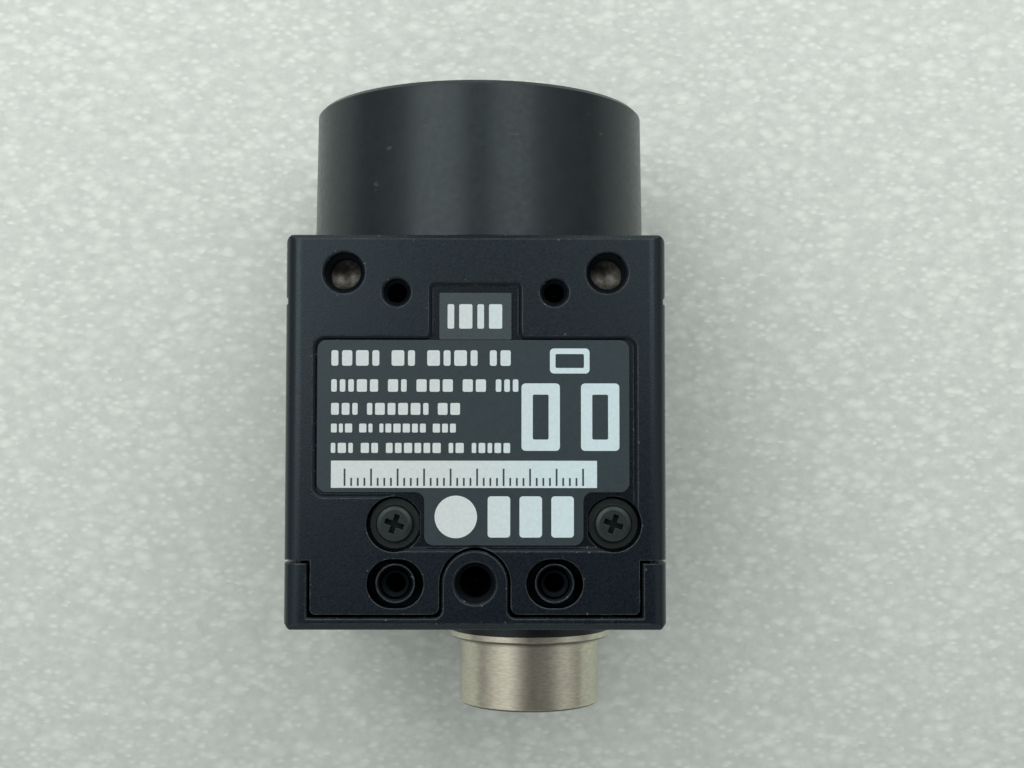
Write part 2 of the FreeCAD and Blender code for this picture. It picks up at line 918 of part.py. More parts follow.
def optical_chamber():
    """The moulded light trap between the filter and the sensor."""
    flange = section_prism(
        rectangle(
            -chamber_flange_half_x,
            chamber_flange_half_x,
            -chamber_flange_half_z,
            chamber_flange_half_z,
            chamber_wall,
        ),
        web_rear_y - chamber_flange_thickness,
        web_rear_y,
    )
    trunk = section_prism(
        rectangle(
            -chamber_half_x,
            chamber_half_x,
            -chamber_half_z,
            chamber_half_z,
            chamber_wall,
        ),
        seal_front_y,
        web_rear_y,
    )
    light_x = chamber_half_x - chamber_wall
    light_z = chamber_half_z - chamber_wall
    light_way = box(-light_x, light_x, seal_front_y - past, web_rear_y + past, -light_z, light_z)
    return without(joined([flange, trunk]), [light_way])


def dust_seal():
    outer = box(
        -package_half_x,
        package_half_x,
        package_front_y,
        seal_front_y,
        -package_half_z,
        package_half_z,
    )
    inner_x = package_half_x - seal_wall
    inner_z = package_half_z - seal_wall
    inner = box(
        -inner_x,
        inner_x,
        package_front_y - past,
        seal_front_y + past,
        -inner_z,
        inner_z,
    )
    return outer.cut(inner)


def sensor_package():
    """The ceramic package: a seat for its window and a cavity for the die."""
    body = box(
        -package_half_x,
        package_half_x,
        package_rear_y,
        package_front_y,
        -package_half_z,
        package_half_z,
    )
    seat_x = window_half_x + window_clearance
    seat_z = window_half_z + window_clearance
    seat = box(
        -seat_x,
        seat_x,
        package_front_y - window_thickness,
        package_front_y + past,
        -seat_z,
        seat_z,
    )
    cavity_x = window_half_x - cavity_margin
    cavity_z = window_half_z - cavity_margin
    cavity = box(
        -cavity_x,
        cavity_x,
        package_front_y - cavity_depth,
        package_front_y,
        -cavity_z,
        cavity_z,
    )
    return without(body, [seat, cavity])


def sensor_window():
    return box(
        -window_half_x,
        window_half_x,
        package_front_y - window_thickness,
        package_front_y,
        -window_half_z,
        window_half_z,
    )


def sensor_die():
    return box(
        -die_half_x,
        die_half_x,
        package_front_y - cavity_depth,
        image_y,
        -die_half_z,
        die_half_z,
    )


# ---------------------------------------------------------------- boards and their frame


def frame_board(y_low):
    return box(
        -frame_inner_x,
        frame_inner_x,
        y_low,
        y_low + board_thickness,
        board_bottom,
        board_top,
    )


def io_board():
    half_x = panel_inner_x - io_board_margin
    board = box(
        -half_x,
        half_x,
        io_board_rear_y,
        io_board_y,
        panel_inner_z + io_board_margin,
        io_board_top,
    )
    clear = rear_spacer_radius + rear_spacer_clearance
    holes = []
    for x, z in rear_screw_places:
        holes.append(rod_y(clear, io_board_rear_y - past, io_board_y + past, x, z))
    return without(board, holes)


def board_frame():
    """A sheet bracket under the mounting plate: two arms for the boards, two tapped posts."""
    web_z = plate_z - frame_thickness
    web = box(-spigot_x, spigot_x, frame_rear_y, frame_front_y, web_z, plate_z)
    pieces = [web]
    bores = []
    for side in (-1, 1):
        low, high = sorted((side * frame_inner_x, side * spigot_x))
        pieces.append(box(low, high, frame_rear_y, frame_front_y, board_bottom, plate_z))
    for x in screw_xs:
        post_low = web_z - frame_post_depth
        pieces.append(rod_z(frame_post_radius, post_low, web_z, x, screw_y))
        bores.append(rod_z(m2_radius, post_low - past, plate_z + past, x, screw_y))
    return without(joined(pieces), bores)


def board_spacer(x, z):
    return rod_y(spacer_radius, signal_board_y, sensor_board_rear_y, x, z)


def rear_spacer(x, z):
    return tube_y(rear_spacer_radius, m2_radius, rear_wall_y, signal_board_rear_y, x, z)


# ---------------------------------------------------------------- connector


def connector_shell():
    """Shank, flange and barrel of the socket, with its polarising key."""
    inner_end_y = rear_wall_y + shank_behind_wall
    profile = [
        (shell_bore_radius, inner_end_y),
        (shank_radius, inner_end_y),
        (shank_radius, ring_rear_y),
        (connector_ring_radius, ring_rear_y),
        (connector_ring_radius, flange_rear_y + connector_edge_chamfer),
        (connector_ring_radius - connector_edge_chamfer, flange_rear_y),
        (barrel_radius, flange_rear_y),
        (barrel_radius, mouth_y + connector_edge_chamfer),
        (barrel_radius - connector_edge_chamfer, mouth_y),
        (shell_bore_radius, mouth_y),
    ]
    key = box(
        connector_x - key_width / 2,
        connector_x + key_width / 2,
        mouth_y + key_setback,
        insert_face_y,
        shell_bore_radius - key_height,
        shell_bore_radius + (shank_radius - shell_bore_radius) / 2,
    )
    return joined([turned(profile, connector_x), key])


def connector_nut():
    nut_y = rear_wall_y + nut_thickness
    nut = tube_y(nut_radius, shank_radius + press_clearance, rear_wall_y, nut_y, connector_x)
    slots = []
    for i in range(nut_slots):
        slot = box(
            nut_radius - nut_slot_depth,
            nut_radius + past,
            rear_wall_y - past,
            nut_y + past,
            -nut_slot_width / 2,
            nut_slot_width / 2,
        )
        slot.rotate(Vector(0, 0, 0), along_y, nut_slot_turn + 360 * i / nut_slots)
        slot.translate(Vector(connector_x, 0, 0))
        slots.append(slot)
    return without(nut, slots)


def pin_places():
    places = []
    for count, circle in ((outer_pins, outer_pin_circle), (inner_pins, inner_pin_circle)):
        for i in range(count):
            angle = math.radians(90 + 360 * (i + 0.5) / count)
            x = connector_x + circle * math.cos(angle)
            places.append((x, circle * math.sin(angle)))
    return places


def contact_pins():
    """Contacts ahead of the insert and their tails behind it."""
    rods = []
    for x, z in pin_places():
        rods.append(rod_y(pin_radius, insert_face_y - pin_length, insert_face_y, x, z))
        rods.append(rod_y(pin_radius, insert_inner_y, io_board_rear_y, x, z))
    return Part.makeCompound(rods)


# ---------------------------------------------------------------- rear controls


def dip_slot_z(index):
    return dip_z + (index - (dip_positions - 1) / 2) * dip_pitch


def dip_housing():
    body = box(
        control_x - dip_width / 2,
        control_x + dip_width / 2,
        dip_face_y,
        io_board_rear_y,
        dip_z - dip_length / 2,
        dip_z + dip_length / 2,
    )
    slots = []
    for index in range(dip_positions):
        z = dip_slot_z(index)
        slots.append(
            box(
                control_x - dip_slot_length / 2,
                control_x + dip_slot_length / 2,
                dip_face_y - past,
                dip_face_y + dip_slot_depth,
                z - dip_slot_width / 2,
                z + dip_slot_width / 2,
            )
        )
    return without(body, slots)


def dip_slider(index):
    low_x = control_x - dip_slot_length / 2 + slide_end_gap
    z = dip_slot_z(index)
    return box(
        low_x,
        low_x + dip_lever_length,
        dip_face_y - dip_lever_proud,
        dip_face_y + dip_slot_depth - slide_floor_gap,
        z - dip_lever_width / 2,
        z + dip_lever_width / 2,
    )


def trimmer_body():
    half = trimmer_width / 2
    body = box(
        control_x - half,
        control_x + half,
        control_front_y,
        io_board_rear_y,
        trimmer_z - half,
        trimmer_z + half,
    )
    pocket = rod_y(
        trimmer_rotor_radius + running_clearance,
        control_front_y - past,
        control_front_y + trimmer_pocket_depth,
        control_x,
        trimmer_z,
    )
    return body.cut(pocket)


def trimmer_rotor():
    face_y = rear_y + trimmer_below_face
    floor_y = control_front_y + trimmer_pocket_depth - slide_floor_gap
    rotor = rod_y(trimmer_rotor_radius, face_y, floor_y, control_x, trimmer_z)
    driver_slot = box(
        control_x - driver_slot_width / 2,
        control_x + driver_slot_width / 2,
        face_y - past,
        face_y + driver_slot_depth,
        trimmer_z - trimmer_rotor_radius,
        trimmer_z + trimmer_rotor_radius,
    )
    return rotor.cut(driver_slot)


def switch_body(x):
    body = box(
        x - switch_body_length / 2,
        x + switch_body_length / 2,
        control_front_y,
        io_board_rear_y,
        switch_z - switch_body_height / 2,
        switch_z + switch_body_height / 2,
    )
    slot = box(
        x - switch_slot_length / 2,
        x + switch_slot_length / 2,
        control_front_y - past,
        control_front_y + switch_slot_depth,
        switch_z - switch_slot_height / 2,
        switch_z + switch_slot_height / 2,
    )
    return body.cut(slot)


def switch_knob(x):
    low_x = x - switch_slot_length / 2 + slide_end_gap
    return box(
        low_x,
        low_x + knob_length,
        rear_y - knob_proud,
        control_front_y + switch_slot_depth - slide_floor_gap,
        switch_z - knob_height / 2,
        switch_z + knob_height / 2,
    )


# ---------------------------------------------------------------- the whole camera


def main():
    save("chassis", chassis())
    save("top_cover", top_cover())
    save("rear_panel", rear_panel())
    save("dust_cap", dust_cap())
    save("lens_mount_ring", lens_mount_ring())
    save("rating_label", rating_label())
    save("date_label", date_label())
    for index, x in enumerate(screw_xs, 1):
        save(f"plate_screw_{index}", plate_screw(x))

    optic_radius = seat_radius - optic_clearance
    save("filter_glass", rod_y(optic_radius, web_y, filter_front_y))
    save(
        "filter_retainer",
        tube_y(
            optic_radius,
            optic_radius - retainer_width,
            filter_front_y,
            filter_front_y + retainer_thickness,
        ),
    )
    save("optical_chamber", optical_chamber())
    save("dust_seal", dust_seal())
    save("sensor_package", sensor_package())
    save("sensor_window", sensor_window())
    save("sensor_die", sensor_die())

    save("sensor_board", frame_board(sensor_board_rear_y))
    save("signal_board", frame_board(signal_board_rear_y))
    save("io_board", io_board())
    save("board_frame", board_frame())
    spacer_x = frame_inner_x - spacer_inset
    spacer_heights = (board_bottom + spacer_inset, board_top - spacer_inset)
    spacer_places = [(x, z) for x in (-spacer_x, spacer_x) for z in spacer_heights]
    for index, (x, z) in enumerate(spacer_places, 1):
        save(f"board_spacer_{index}", board_spacer(x, z))
    for index, (x, z) in enumerate(rear_screw_places, 1):
        save(f"rear_spacer_{index}", rear_spacer(x, z))
        save(f"rear_screw_{index}", rear_screw(x, z))

    save(
        "connector_ring",
        tube_y(
            connector_ring_radius,
            shank_radius + shell_clearance,
            ring_rear_y,
            rear_y,
            connector_x,
        ),
    )
    save("connector_shell", connector_shell())
    insert_radius = shell_bore_radius - press_clearance
    save("connector_insert", rod_y(insert_radius, insert_face_y, insert_inner_y, connector_x))
    save("contact_pins", contact_pins())
    save("connector_nut", connector_nut())

    save("dip_housing", dip_housing())
    for index in range(dip_positions):
        save(f"dip_slider_{index + 1}", dip_slider(index))
    save("trimmer_body", trimmer_body())
    save("trimmer_rotor", trimmer_rotor())
    save("sync_switch_body", switch_body(control_x))
    save("sync_switch_knob", switch_knob(control_x))
    save("termination_switch_body", switch_body(termination_x))
    save("termination_switch_knob", switch_knob(termination_x))


main()
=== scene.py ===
import json
import math
import random

import bmesh
import bpy
from bpy.props import (
    FloatProperty,
    FloatVectorProperty,
    IntProperty,
    PointerProperty,
)
from bpy.types import Operator, Panel, PropertyGroup
from mathutils import Matrix, Vector


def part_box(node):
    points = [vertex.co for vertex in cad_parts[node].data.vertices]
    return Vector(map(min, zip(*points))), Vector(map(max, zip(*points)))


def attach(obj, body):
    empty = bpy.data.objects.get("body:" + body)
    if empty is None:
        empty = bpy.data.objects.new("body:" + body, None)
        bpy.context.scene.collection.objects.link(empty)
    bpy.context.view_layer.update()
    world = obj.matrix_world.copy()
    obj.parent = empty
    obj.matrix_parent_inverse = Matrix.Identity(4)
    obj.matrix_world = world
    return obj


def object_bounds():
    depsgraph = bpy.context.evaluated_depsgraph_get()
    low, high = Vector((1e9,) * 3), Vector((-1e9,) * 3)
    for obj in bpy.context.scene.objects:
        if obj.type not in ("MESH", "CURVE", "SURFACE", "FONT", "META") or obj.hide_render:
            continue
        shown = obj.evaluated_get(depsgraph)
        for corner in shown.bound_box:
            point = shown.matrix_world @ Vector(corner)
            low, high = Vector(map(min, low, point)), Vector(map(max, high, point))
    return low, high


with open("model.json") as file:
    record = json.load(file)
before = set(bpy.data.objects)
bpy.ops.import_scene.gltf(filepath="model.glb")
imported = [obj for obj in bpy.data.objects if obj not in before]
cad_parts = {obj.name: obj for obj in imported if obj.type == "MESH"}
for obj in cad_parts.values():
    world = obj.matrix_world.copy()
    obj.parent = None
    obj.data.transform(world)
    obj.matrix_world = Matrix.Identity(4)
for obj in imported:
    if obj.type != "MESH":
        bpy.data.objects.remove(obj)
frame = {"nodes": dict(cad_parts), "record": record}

bl_info = {
    "name": "Cube Camera Finishes",
    "version": (1, 0, 0),
    "blender": (4, 5, 0),
    "location": "3D View > Sidebar > Cube Camera",
    "description": "Dresses a small cube-format camera in paint, film, metal and glass",
    "category": "Object",
}

# The part lies on its top cover: +Z leaves the mounting face, +Y leaves the lens mount.
NODES = frame["nodes"]
MOUNTS = {mount["name"]: mount for mount in frame["record"]["mounts"]}
CAD_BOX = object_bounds()
CASE = "camera"
MM = 0.001
ALONG_Y = Vector((0, 1, 0))
ALONG_Z = Vector((0, 0, 1))
SHARP_ANGLE = math.radians(35.0)


def mm_box(node):
    """The lowest and highest corners of a node at rest, in millimetres."""
    low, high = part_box(node)
    return low / MM, high / MM


# ---------------------------------------------------------------- surfaces


class Surface:
    """A procedural finish in the making: one Principled shader and what feeds it."""

    def __init__(self, name, colour, roughness, metallic=0.0):
        self.material = bpy.data.materials.new(name)
        self.material.use_nodes = True
        self.tree = self.material.node_tree
        self.shader = self.tree.nodes["Principled BSDF"]
        self.shader.inputs["Base Color"].default_value = (*colour, 1)
        self.shader.inputs["Roughness"].default_value = roughness
        self.shader.inputs["Metallic"].default_value = metallic
        self.normal = None

    def add(self, kind, inputs=None, **settings):
        node = self.tree.nodes.new(kind)
        for key, value in settings.items():
            setattr(node, key, value)
        for key, value in (inputs or {}).items():
            self.feed(value, node.inputs[key])
        return node

    def feed(self, value, socket):
        if isinstance(value, bpy.types.NodeSocket):
            self.tree.links.new(value, socket)
        else:
            socket.default_value = value

    def set(self, name, value):
        self.feed(value, self.shader.inputs[name])

    def place(self, stretch=(1, 1, 1)):
        """The part's own coordinates in millimetres, squeezed by stretch."""
        spot = self.add("ShaderNodeTexCoord").outputs["Object"]
        scale = tuple(factor / MM for factor in stretch)
        node = self.add("ShaderNodeVectorMath", {0: spot, 1: scale}, operation="MULTIPLY")
        return node.outputs[0]

    def grain(self, size, detail=2.0, stretch=(1, 1, 1), roughness=0.5):
        """Noise whose lumps are size millimetres across."""
        node = self.add(
            "ShaderNodeTexNoise",
            {
                "Vector": self.place(stretch),
                "Scale": 1 / size,
                "Detail": detail,
                "Roughness": roughness,
            },
        )
        return node.outputs[0]

    def cracks(self, size):
        """Distance from the lines between cells that are size millimetres across."""
        node = self.add(
            "ShaderNodeTexVoronoi",
            {"Vector": self.place(), "Scale": 1 / size},
            feature="DISTANCE_TO_EDGE",
        )
        return node.outputs["Distance"]

    def spread(self, value, low, high, to_low=0.0, to_high=1.0):
        node = self.add(
            "ShaderNodeMapRange",
            {0: value, 1: low, 2: high, 3: to_low, 4: to_high},
        )
        return node.outputs[0]

    def math(self, operation, a, b=0.0):
        return self.add("ShaderNodeMath", {0: a, 1: b}, operation=operation).outputs[0]

    def blend(self, factor, first, second, kind="MIX"):
        """Colour first where factor is 0 and second, or their product, where it is 1."""
        node = self.add("ShaderNodeMix", data_type="RGBA", blend_type=kind)
        self.feed(factor, node.inputs[0])
        for value, socket in ((first, node.inputs[6]), (second, node.inputs[7])):
            if isinstance(value, tuple) and len(value) == 3:
                value = (*value, 1)
            self.feed(value, socket)
        return node.outputs[2]

    def product(self, first, *others):
        for other in others:
            first = self.math("MULTIPLY", first, other)
        return first

    def between(self, name, low, high):
        """1 where one of the part's own coordinates lies from low to high millimetres."""
        above = self.math("GREATER_THAN", self.axis(name), low)
        return self.product(above, self.math("LESS_THAN", self.axis(name), high))

    def axis(self, name):
        """One of the part's own coordinates in millimetres."""
        node = self.add("ShaderNodeSeparateXYZ", {0: self.place()})
        return node.outputs[name]

    def round_edges(self, radius):
        """Shades every edge as if it were rounded to radius millimetres."""
        node = self.add("ShaderNodeBevel", {"Radius": radius * MM}, samples=6)
        self.normal = node.outputs[0]

    def bump(self, height, depth):
        """Height 0 to 1 raised by depth millimetres, over what was bumped before."""
        inputs = {"Height": height, "Distance": depth * MM}
        if self.normal:
            inputs["Normal"] = self.normal
        self.normal = self.add("ShaderNodeBump", inputs).outputs[0]

    def edges(self, radius, low=0.02, high=0.35):
        """1 along sharp edges within radius millimetres and 0 on flat faces."""
        soft = self.add("ShaderNodeBevel", {"Radius": radius * MM}, samples=6).outputs[0]
        flat = self.add("ShaderNodeNewGeometry").outputs["Normal"]
        dot = self.add("ShaderNodeVectorMath", {0: soft, 1: flat}, operation="DOT_PRODUCT")
        bend = self.math("SUBTRACT", 1.0, dot.outputs["Value"])
        return self.spread(bend, low, high)

    def done(self):
        if self.normal:
            self.feed(self.normal, self.shader.inputs["Normal"])
        return self.material


def shade(colour, factor):
    return tuple(channel * factor for channel in colour)


def case_paint(name, case):
    """Fine satin paint on cast alloy: faint mottling, edges turned to a paler line that is
    partly rubbed wear and partly painted highlight, and painted shade in the recesses below the
    mounting face.
    """
    paint = Surface(name, case.paint_colour, 0.30)
    paint.set("Specular IOR Level", 0.44)
    paint.set("Specular Tint", (0.74, 0.93, 1.0, 1))
    paint.round_edges(case.edge_round / MM)
    paint.bump(paint.grain(case.grain_size / MM, 3.0), case.grain_depth / MM)
    paint.bump(paint.grain(2.6, 1.0), 0.003)
    mottle = paint.spread(paint.grain(0.14, 2.0), 0.35, 0.65)
    base = tuple(case.paint_colour)
    tint = paint.blend(mottle, shade(base, 0.72), shade(base, 1.30))
    # Paler edges: partly rubbed wear, partly painted highlight standing in for light caught by
    # the rounded edges.
    rub_and_highlight = paint.product(
        paint.edges(0.12, 0.01, 0.14),
        paint.spread(paint.grain(0.7, 3.0), 0.40, 0.60, 0.25, 1.0),
        case.edge_wear_and_highlight,
    )
    tint = paint.blend(rub_and_highlight, tint, tuple(case.worn_and_lit_colour))
    nick = paint.spread(paint.grain(0.30, 2.0), 0.70, 0.74)
    nick = paint.product(nick, paint.edges(0.45, 0.004, 0.05))
    tint = paint.blend(nick, tint, (0.20, 0.22, 0.22))
    front = mm_box("chassis")[1]
    rear = mm_box("rear_panel")[0].y
    rim = 0.9
    recess_floor = 8.0
    # Painted shade: below the mounting face, inside the case outline, the paint darkens and
    # turns mostly metallic so its reflection dies, standing in for shade in slots, holes, seams
    # and recesses.
    recess_painted_shade = paint.product(
        paint.spread(paint.axis("Z"), front.z - 0.50, front.z - 0.16, 1.0, 0.0),
        paint.between("X", rim - front.x, front.x - rim),
        paint.between("Y", rear + rim, front.y - rim),
        paint.between("Z", recess_floor, front.z),
    )
    paint.set("Base Color", paint.blend(recess_painted_shade, tint, shade(base, 0.35)))
    paint.set("Metallic", paint.product(recess_painted_shade, 0.8))
    paint.set("Roughness", paint.spread(paint.grain(0.16, 2.0), 0.3, 0.7, 0.23, 0.33))
    return paint.done()


def cap_finish(name, cap):
    """Satin black moulding of the dust cap, with fine draw lines along its pull."""
    skin = Surface(name, cap.colour, cap.roughness)
    skin.set("Specular Tint", (0.86, 0.98, 1.0, 1))
    skin.set("Specular IOR Level", 0.42)
    skin.round_edges(0.12)
    skin.bump(skin.grain(0.10, 3.0), 0.0016)
    skin.bump(skin.grain(0.25, 2.0, stretch=(1, 0.08, 1)), 0.0012)
    mottle = skin.spread(skin.grain(1.3, 4.0), 0.35, 0.65)
    base = tuple(cap.colour)
    tint = skin.blend(mottle, shade(base, 0.88), shade(base, 1.14))
    for turn, stretch in ((0.6, (1, 1, 0.05)), (2.1, (0.05, 1, 1))):
        line = skin.spread(skin.grain(0.30 * turn, 1.0, stretch=stretch), 0.735, 0.76)
        scuff = skin.product(line, skin.spread(skin.grain(3.0, 2.0), 0.5, 0.7, 0.0, 0.5))
        tint = skin.blend(scuff, tint, (0.060, 0.070, 0.072))
    rim = skin.product(skin.edges(0.12), skin.spread(skin.grain(0.8, 3.0), 0.4, 0.7, 0.0, 0.6))
    skin.set("Base Color", skin.blend(rim, tint, (0.055, 0.066, 0.068)))
    low, high = cap.roughness - 0.05, cap.roughness + 0.05
    skin.set("Roughness", skin.spread(skin.grain(0.5, 3.0), 0.3, 0.7, low, high))
    return skin.done()


def turned_black(name):
    """Black anodised alloy with the fine rings a lathe leaves."""
    metal = Surface(name, (0.010, 0.012, 0.014), 0.34)
    metal.set("Specular Tint", (0.78, 0.94, 1.0, 1))
    metal.round_edges(0.08)
    metal.bump(metal.grain(0.16, 2.0, stretch=(0.1, 3.0, 0.1)), 0.003)
    bare = metal.product(metal.edges(0.09), 0.35)
    metal.set("Base Color", metal.blend(bare, (0.010, 0.012, 0.014), (0.14, 0.15, 0.155)))
    metal.set("Roughness", metal.spread(metal.grain(0.4, 3.0), 0.3, 0.7, 0.28, 0.42))
    return metal.done()


def thread_black(name):
    """Painted threads in the mounting holes: crests that screws have rubbed paler, over a
    near-black tone with damped reflection that is painted shade inside the holes.
    """
    dark = (0.0035, 0.0050, 0.0065)
    # Painted shade: the near-black colour, the 0.6 metallic share and the low specular level
    # damp the reflection, standing in for shade inside the holes.
    metal = Surface(name, dark, 0.36, 0.6)
    metal.set("Specular IOR Level", 0.12)
    metal.set("Specular Tint", (0.78, 0.94, 1.0, 1))
    metal.bump(metal.grain(0.10, 2.0), 0.002)
    rubbed = metal.product(
        metal.edges(0.05, 0.01, 0.10), metal.spread(metal.grain(0.4, 3.0), 0.4, 0.65)
    )
    metal.set("Base Color", metal.blend(rubbed, dark, (0.020, 0.024, 0.026)))
    return metal.done()


def film_finish(name, colour):
    """Printed polyester film: an even grey with a dusting of finer grain, and a painted
    highlight along its raised edges.
    """
    film = Surface(name, colour, 0.36)
    film.set("Specular Tint", (0.86, 0.96, 1.0, 1))
    film.set("Specular IOR Level", 0.30)
    film.round_edges(0.05)
    film.bump(film.grain(0.09, 2.0), 0.0012)
    film.bump(film.grain(4.0, 1.0), 0.004)
    speckle = film.spread(film.grain(0.12, 3.0), 0.35, 0.65)
    tint = film.blend(speckle, shade(colour, 0.90), shade(colour, 1.10))
    # Painted highlight: the film's raised edges turn paler, standing in for light caught along
    # the label's edge.
    proud_edge_highlight = film.product(film.edges(0.07), 0.6)
    film.set("Base Color", film.blend(proud_edge_highlight, tint, (0.13, 0.15, 0.155)))
    film.set("Roughness", film.spread(film.grain(0.6, 3.0), 0.3, 0.7, 0.30, 0.40))
    return film.done()


def ink_finish(name, colour, far_colour=None):
    """Screen-printed ink, faintly uneven. far_colour is its tone at the label's right."""
    ink = Surface(name, colour, 0.5)
    ink.bump(ink.grain(0.07, 2.0), 0.001)
    wear = ink.spread(ink.grain(0.3, 4.0, roughness=0.65), 0.3, 0.7)
    near = ink.blend(wear, shade(colour, 0.92), shade(colour, 1.04))
    if far_colour:
        low, high = mm_box("rating_label")
        along = ink.spread(ink.axis("X"), low.x * 0.2, high.x * 0.6)
        far = ink.blend(wear, shade(far_colour, 0.92), shade(far_colour, 1.04))
        near = ink.blend(along, near, far)
    ink.set("Base Color", near)
    return ink.done()


def oxide_black(name):
    """Black oxide screws: dark, a little oily, with paler rims and painted shade in the drive
    recess.
    """
    dark = (0.015, 0.019, 0.018)
    metal = Surface(name, dark, 0.30)
    metal.set("Specular Tint", (0.80, 0.97, 0.97, 1))
    metal.set("Specular IOR Level", 0.42)
    metal.round_edges(0.06)
    metal.bump(metal.grain(0.14, 3.0), 0.003)
    rim = metal.product(
        metal.edges(0.08), metal.spread(metal.grain(0.25, 3.0), 0.4, 0.7, 0.1, 0.8)
    )
    # Painted shade: inside the cross recess, below the head's top, the colour turns near black
    # and rough, standing in for shade in the recess.
    gaps = []
    for screw in ("plate_screw_1", "plate_screw_2"):
        low, high = mm_box(screw)
        gap = metal.math("SUBTRACT", metal.axis("X"), (low.x + high.x) / 2)
        gaps.append(metal.math("POWER", gap, 2.0))
    across = metal.math("MINIMUM", *gaps)
    along = metal.math("SUBTRACT", metal.axis("Y"), (low.y + high.y) / 2)
    along = metal.math("POWER", along, 2.0)
    reach = metal.math("SQRT", metal.math("ADD", across, along))
    inside = metal.math("LESS_THAN", reach, 0.90)
    sunk = metal.math("LESS_THAN", metal.axis("Z"), high.z - 0.03)
    painted_shade = metal.product(inside, sunk)
    tint = metal.blend(rim, dark, (0.12, 0.14, 0.135))
    metal.set("Base Color", metal.blend(painted_shade, tint, (0.0015, 0.0018, 0.0020)))
    shine = metal.spread(metal.grain(0.2, 3.0), 0.3, 0.7, 0.26, 0.40)
    metal.set("Roughness", metal.math("MAXIMUM", shine, metal.product(painted_shade, 0.9)))
    return metal.done()


def nickel_plate(name, metals):
    """Nickel plate that has dulled: warm, finely mottled, with painted shade on its rear-facing
    bevels and on the barrel just behind the flange.
    """
    colour = tuple(metals.nickel_colour)
    metal = Surface(name, colour, 0.28, 1.0)
    metal.round_edges(0.05)
    metal.bump(metal.grain(0.30, 1.0), 0.0006)
    cloud = metal.spread(metal.grain(0.24, 1.5, stretch=(0.45, 1.5, 0.45)), 0.34, 0.66)
    tint = metal.blend(cloud, shade(colour, 0.88), shade(colour, 1.07))
    stain = metal.spread(metal.grain(2.6, 3.0), 0.52, 0.74, 0.0, 0.40)
    tint = metal.blend(stain, tint, (0.55, 0.49, 0.45))
    # Painted shade: rear-facing bevels and a band of barrel behind the flange darken, standing
    # in for the shadow in the gap under the flange.
    facing = metal.add("ShaderNodeNewGeometry").outputs["Normal"]
    rearward = metal.add("ShaderNodeSeparateXYZ", {0: facing}).outputs["Y"]
    bevel = metal.product(
        metal.spread(rearward, -0.40, -0.60), metal.spread(rearward, -0.95, -0.80)
    )
    flange = 0.60
    seat = mm_box("connector_ring")[0].y - flange
    behind = metal.math("LESS_THAN", metal.axis("Y"), seat - 0.01)
    corner = metal.spread(metal.axis("Y"), seat - 0.36, seat - 0.12, 0.0, 0.9)
    painted_shade = metal.math("MAXIMUM", bevel, metal.product(behind, corner))
    tint = metal.blend(metal.product(painted_shade, 0.88), tint, (0.085, 0.078, 0.066))
    metal.set("Base Color", tint)
    metal.set("Roughness", metal.spread(cloud, 0.0, 1.0, 0.28, 0.29))
    return metal.done()


def bright_cut(name):
    """Freshly drilled alloy at the foot of a hole."""
    metal = Surface(name, (0.20, 0.185, 0.165), 0.36, 1.0)
    metal.bump(metal.grain(0.10, 3.0), 0.0015)
    smear = metal.spread(metal.grain(0.35, 4.0), 0.35, 0.7)
    metal.set("Base Color", metal.blend(smear, (0.09, 0.088, 0.078), (0.21, 0.20, 0.175)))
    return metal.done()


def gold_plate(name):
    metal = Surface(name, (0.83, 0.60, 0.26), 0.25, 1.0)
    metal.bump(metal.grain(0.08, 2.0), 0.0012)
    tone = metal.spread(metal.grain(0.4, 3.0), 0.35, 0.65)
    metal.set("Base Color", metal.blend(tone, (0.72, 0.50, 0.20), (0.86, 0.64, 0.30)))
    metal.set("Roughness", metal.spread(metal.grain(0.2, 2.0), 0.3, 0.7, 0.2, 0.32))
    return metal.done()


def moulded(name, colour, roughness, grain=0.12, depth=0.003):
    """A moulded plastic with a spark-eroded grain."""
    skin = Surface(name, colour, roughness)
    skin.set("Specular Tint", (0.88, 0.97, 1.0, 1))
    skin.round_edges(0.06)
    skin.bump(skin.grain(grain, 3.0), depth)
    tone = skin.spread(skin.grain(0.9, 3.0), 0.35, 0.65)
    skin.set("Base Color", skin.blend(tone, shade(colour, 0.9), shade(colour, 1.1)))
    low, high = roughness - 0.06, roughness + 0.06
    skin.set("Roughness", skin.spread(skin.grain(0.4, 3.0), 0.3, 0.7, low, high))
    return skin.done()


def solder_mask(name):
    """Green board coating with copper tracks that show under it."""
    board = Surface(name, (0.010, 0.085, 0.040), 0.32)
    tracks = board.math("LESS_THAN", board.cracks(1.5), 0.10)
    board.bump(tracks, 0.02)
    board.set("Base Color", board.blend(tracks, (0.010, 0.085, 0.040), (0.030, 0.17, 0.070)))
    board.set("Roughness", board.spread(board.grain(0.5, 3.0), 0.3, 0.7, 0.26, 0.40))
    return board.done()


def pressed_steel(name):
    """Tinned sheet with a faint rolling grain."""
    metal = Surface(name, (0.55, 0.56, 0.56), 0.36, 1.0)
    metal.bump(metal.grain(0.2, 3.0, stretch=(0.1, 1, 1)), 0.003)
    tone = metal.spread(metal.grain(1.2, 4.0), 0.35, 0.65)
    metal.set("Base Color", metal.blend(tone, (0.47, 0.48, 0.48), (0.60, 0.61, 0.60)))
    return metal.done()


def coated_glass(name, tint, roughness=0.03):
    """Optical glass with a faint coating bloom."""
    glass = Surface(name, tint, roughness)
    glass.set("Transmission Weight", 1.0)
    glass.set("IOR", 1.5)
    bloom = glass.spread(glass.grain(6.0, 1.0), 0.35, 0.65)
    glass.set("Base Color", glass.blend(bloom, shade(tint, 0.96), tint))
    return glass.done()


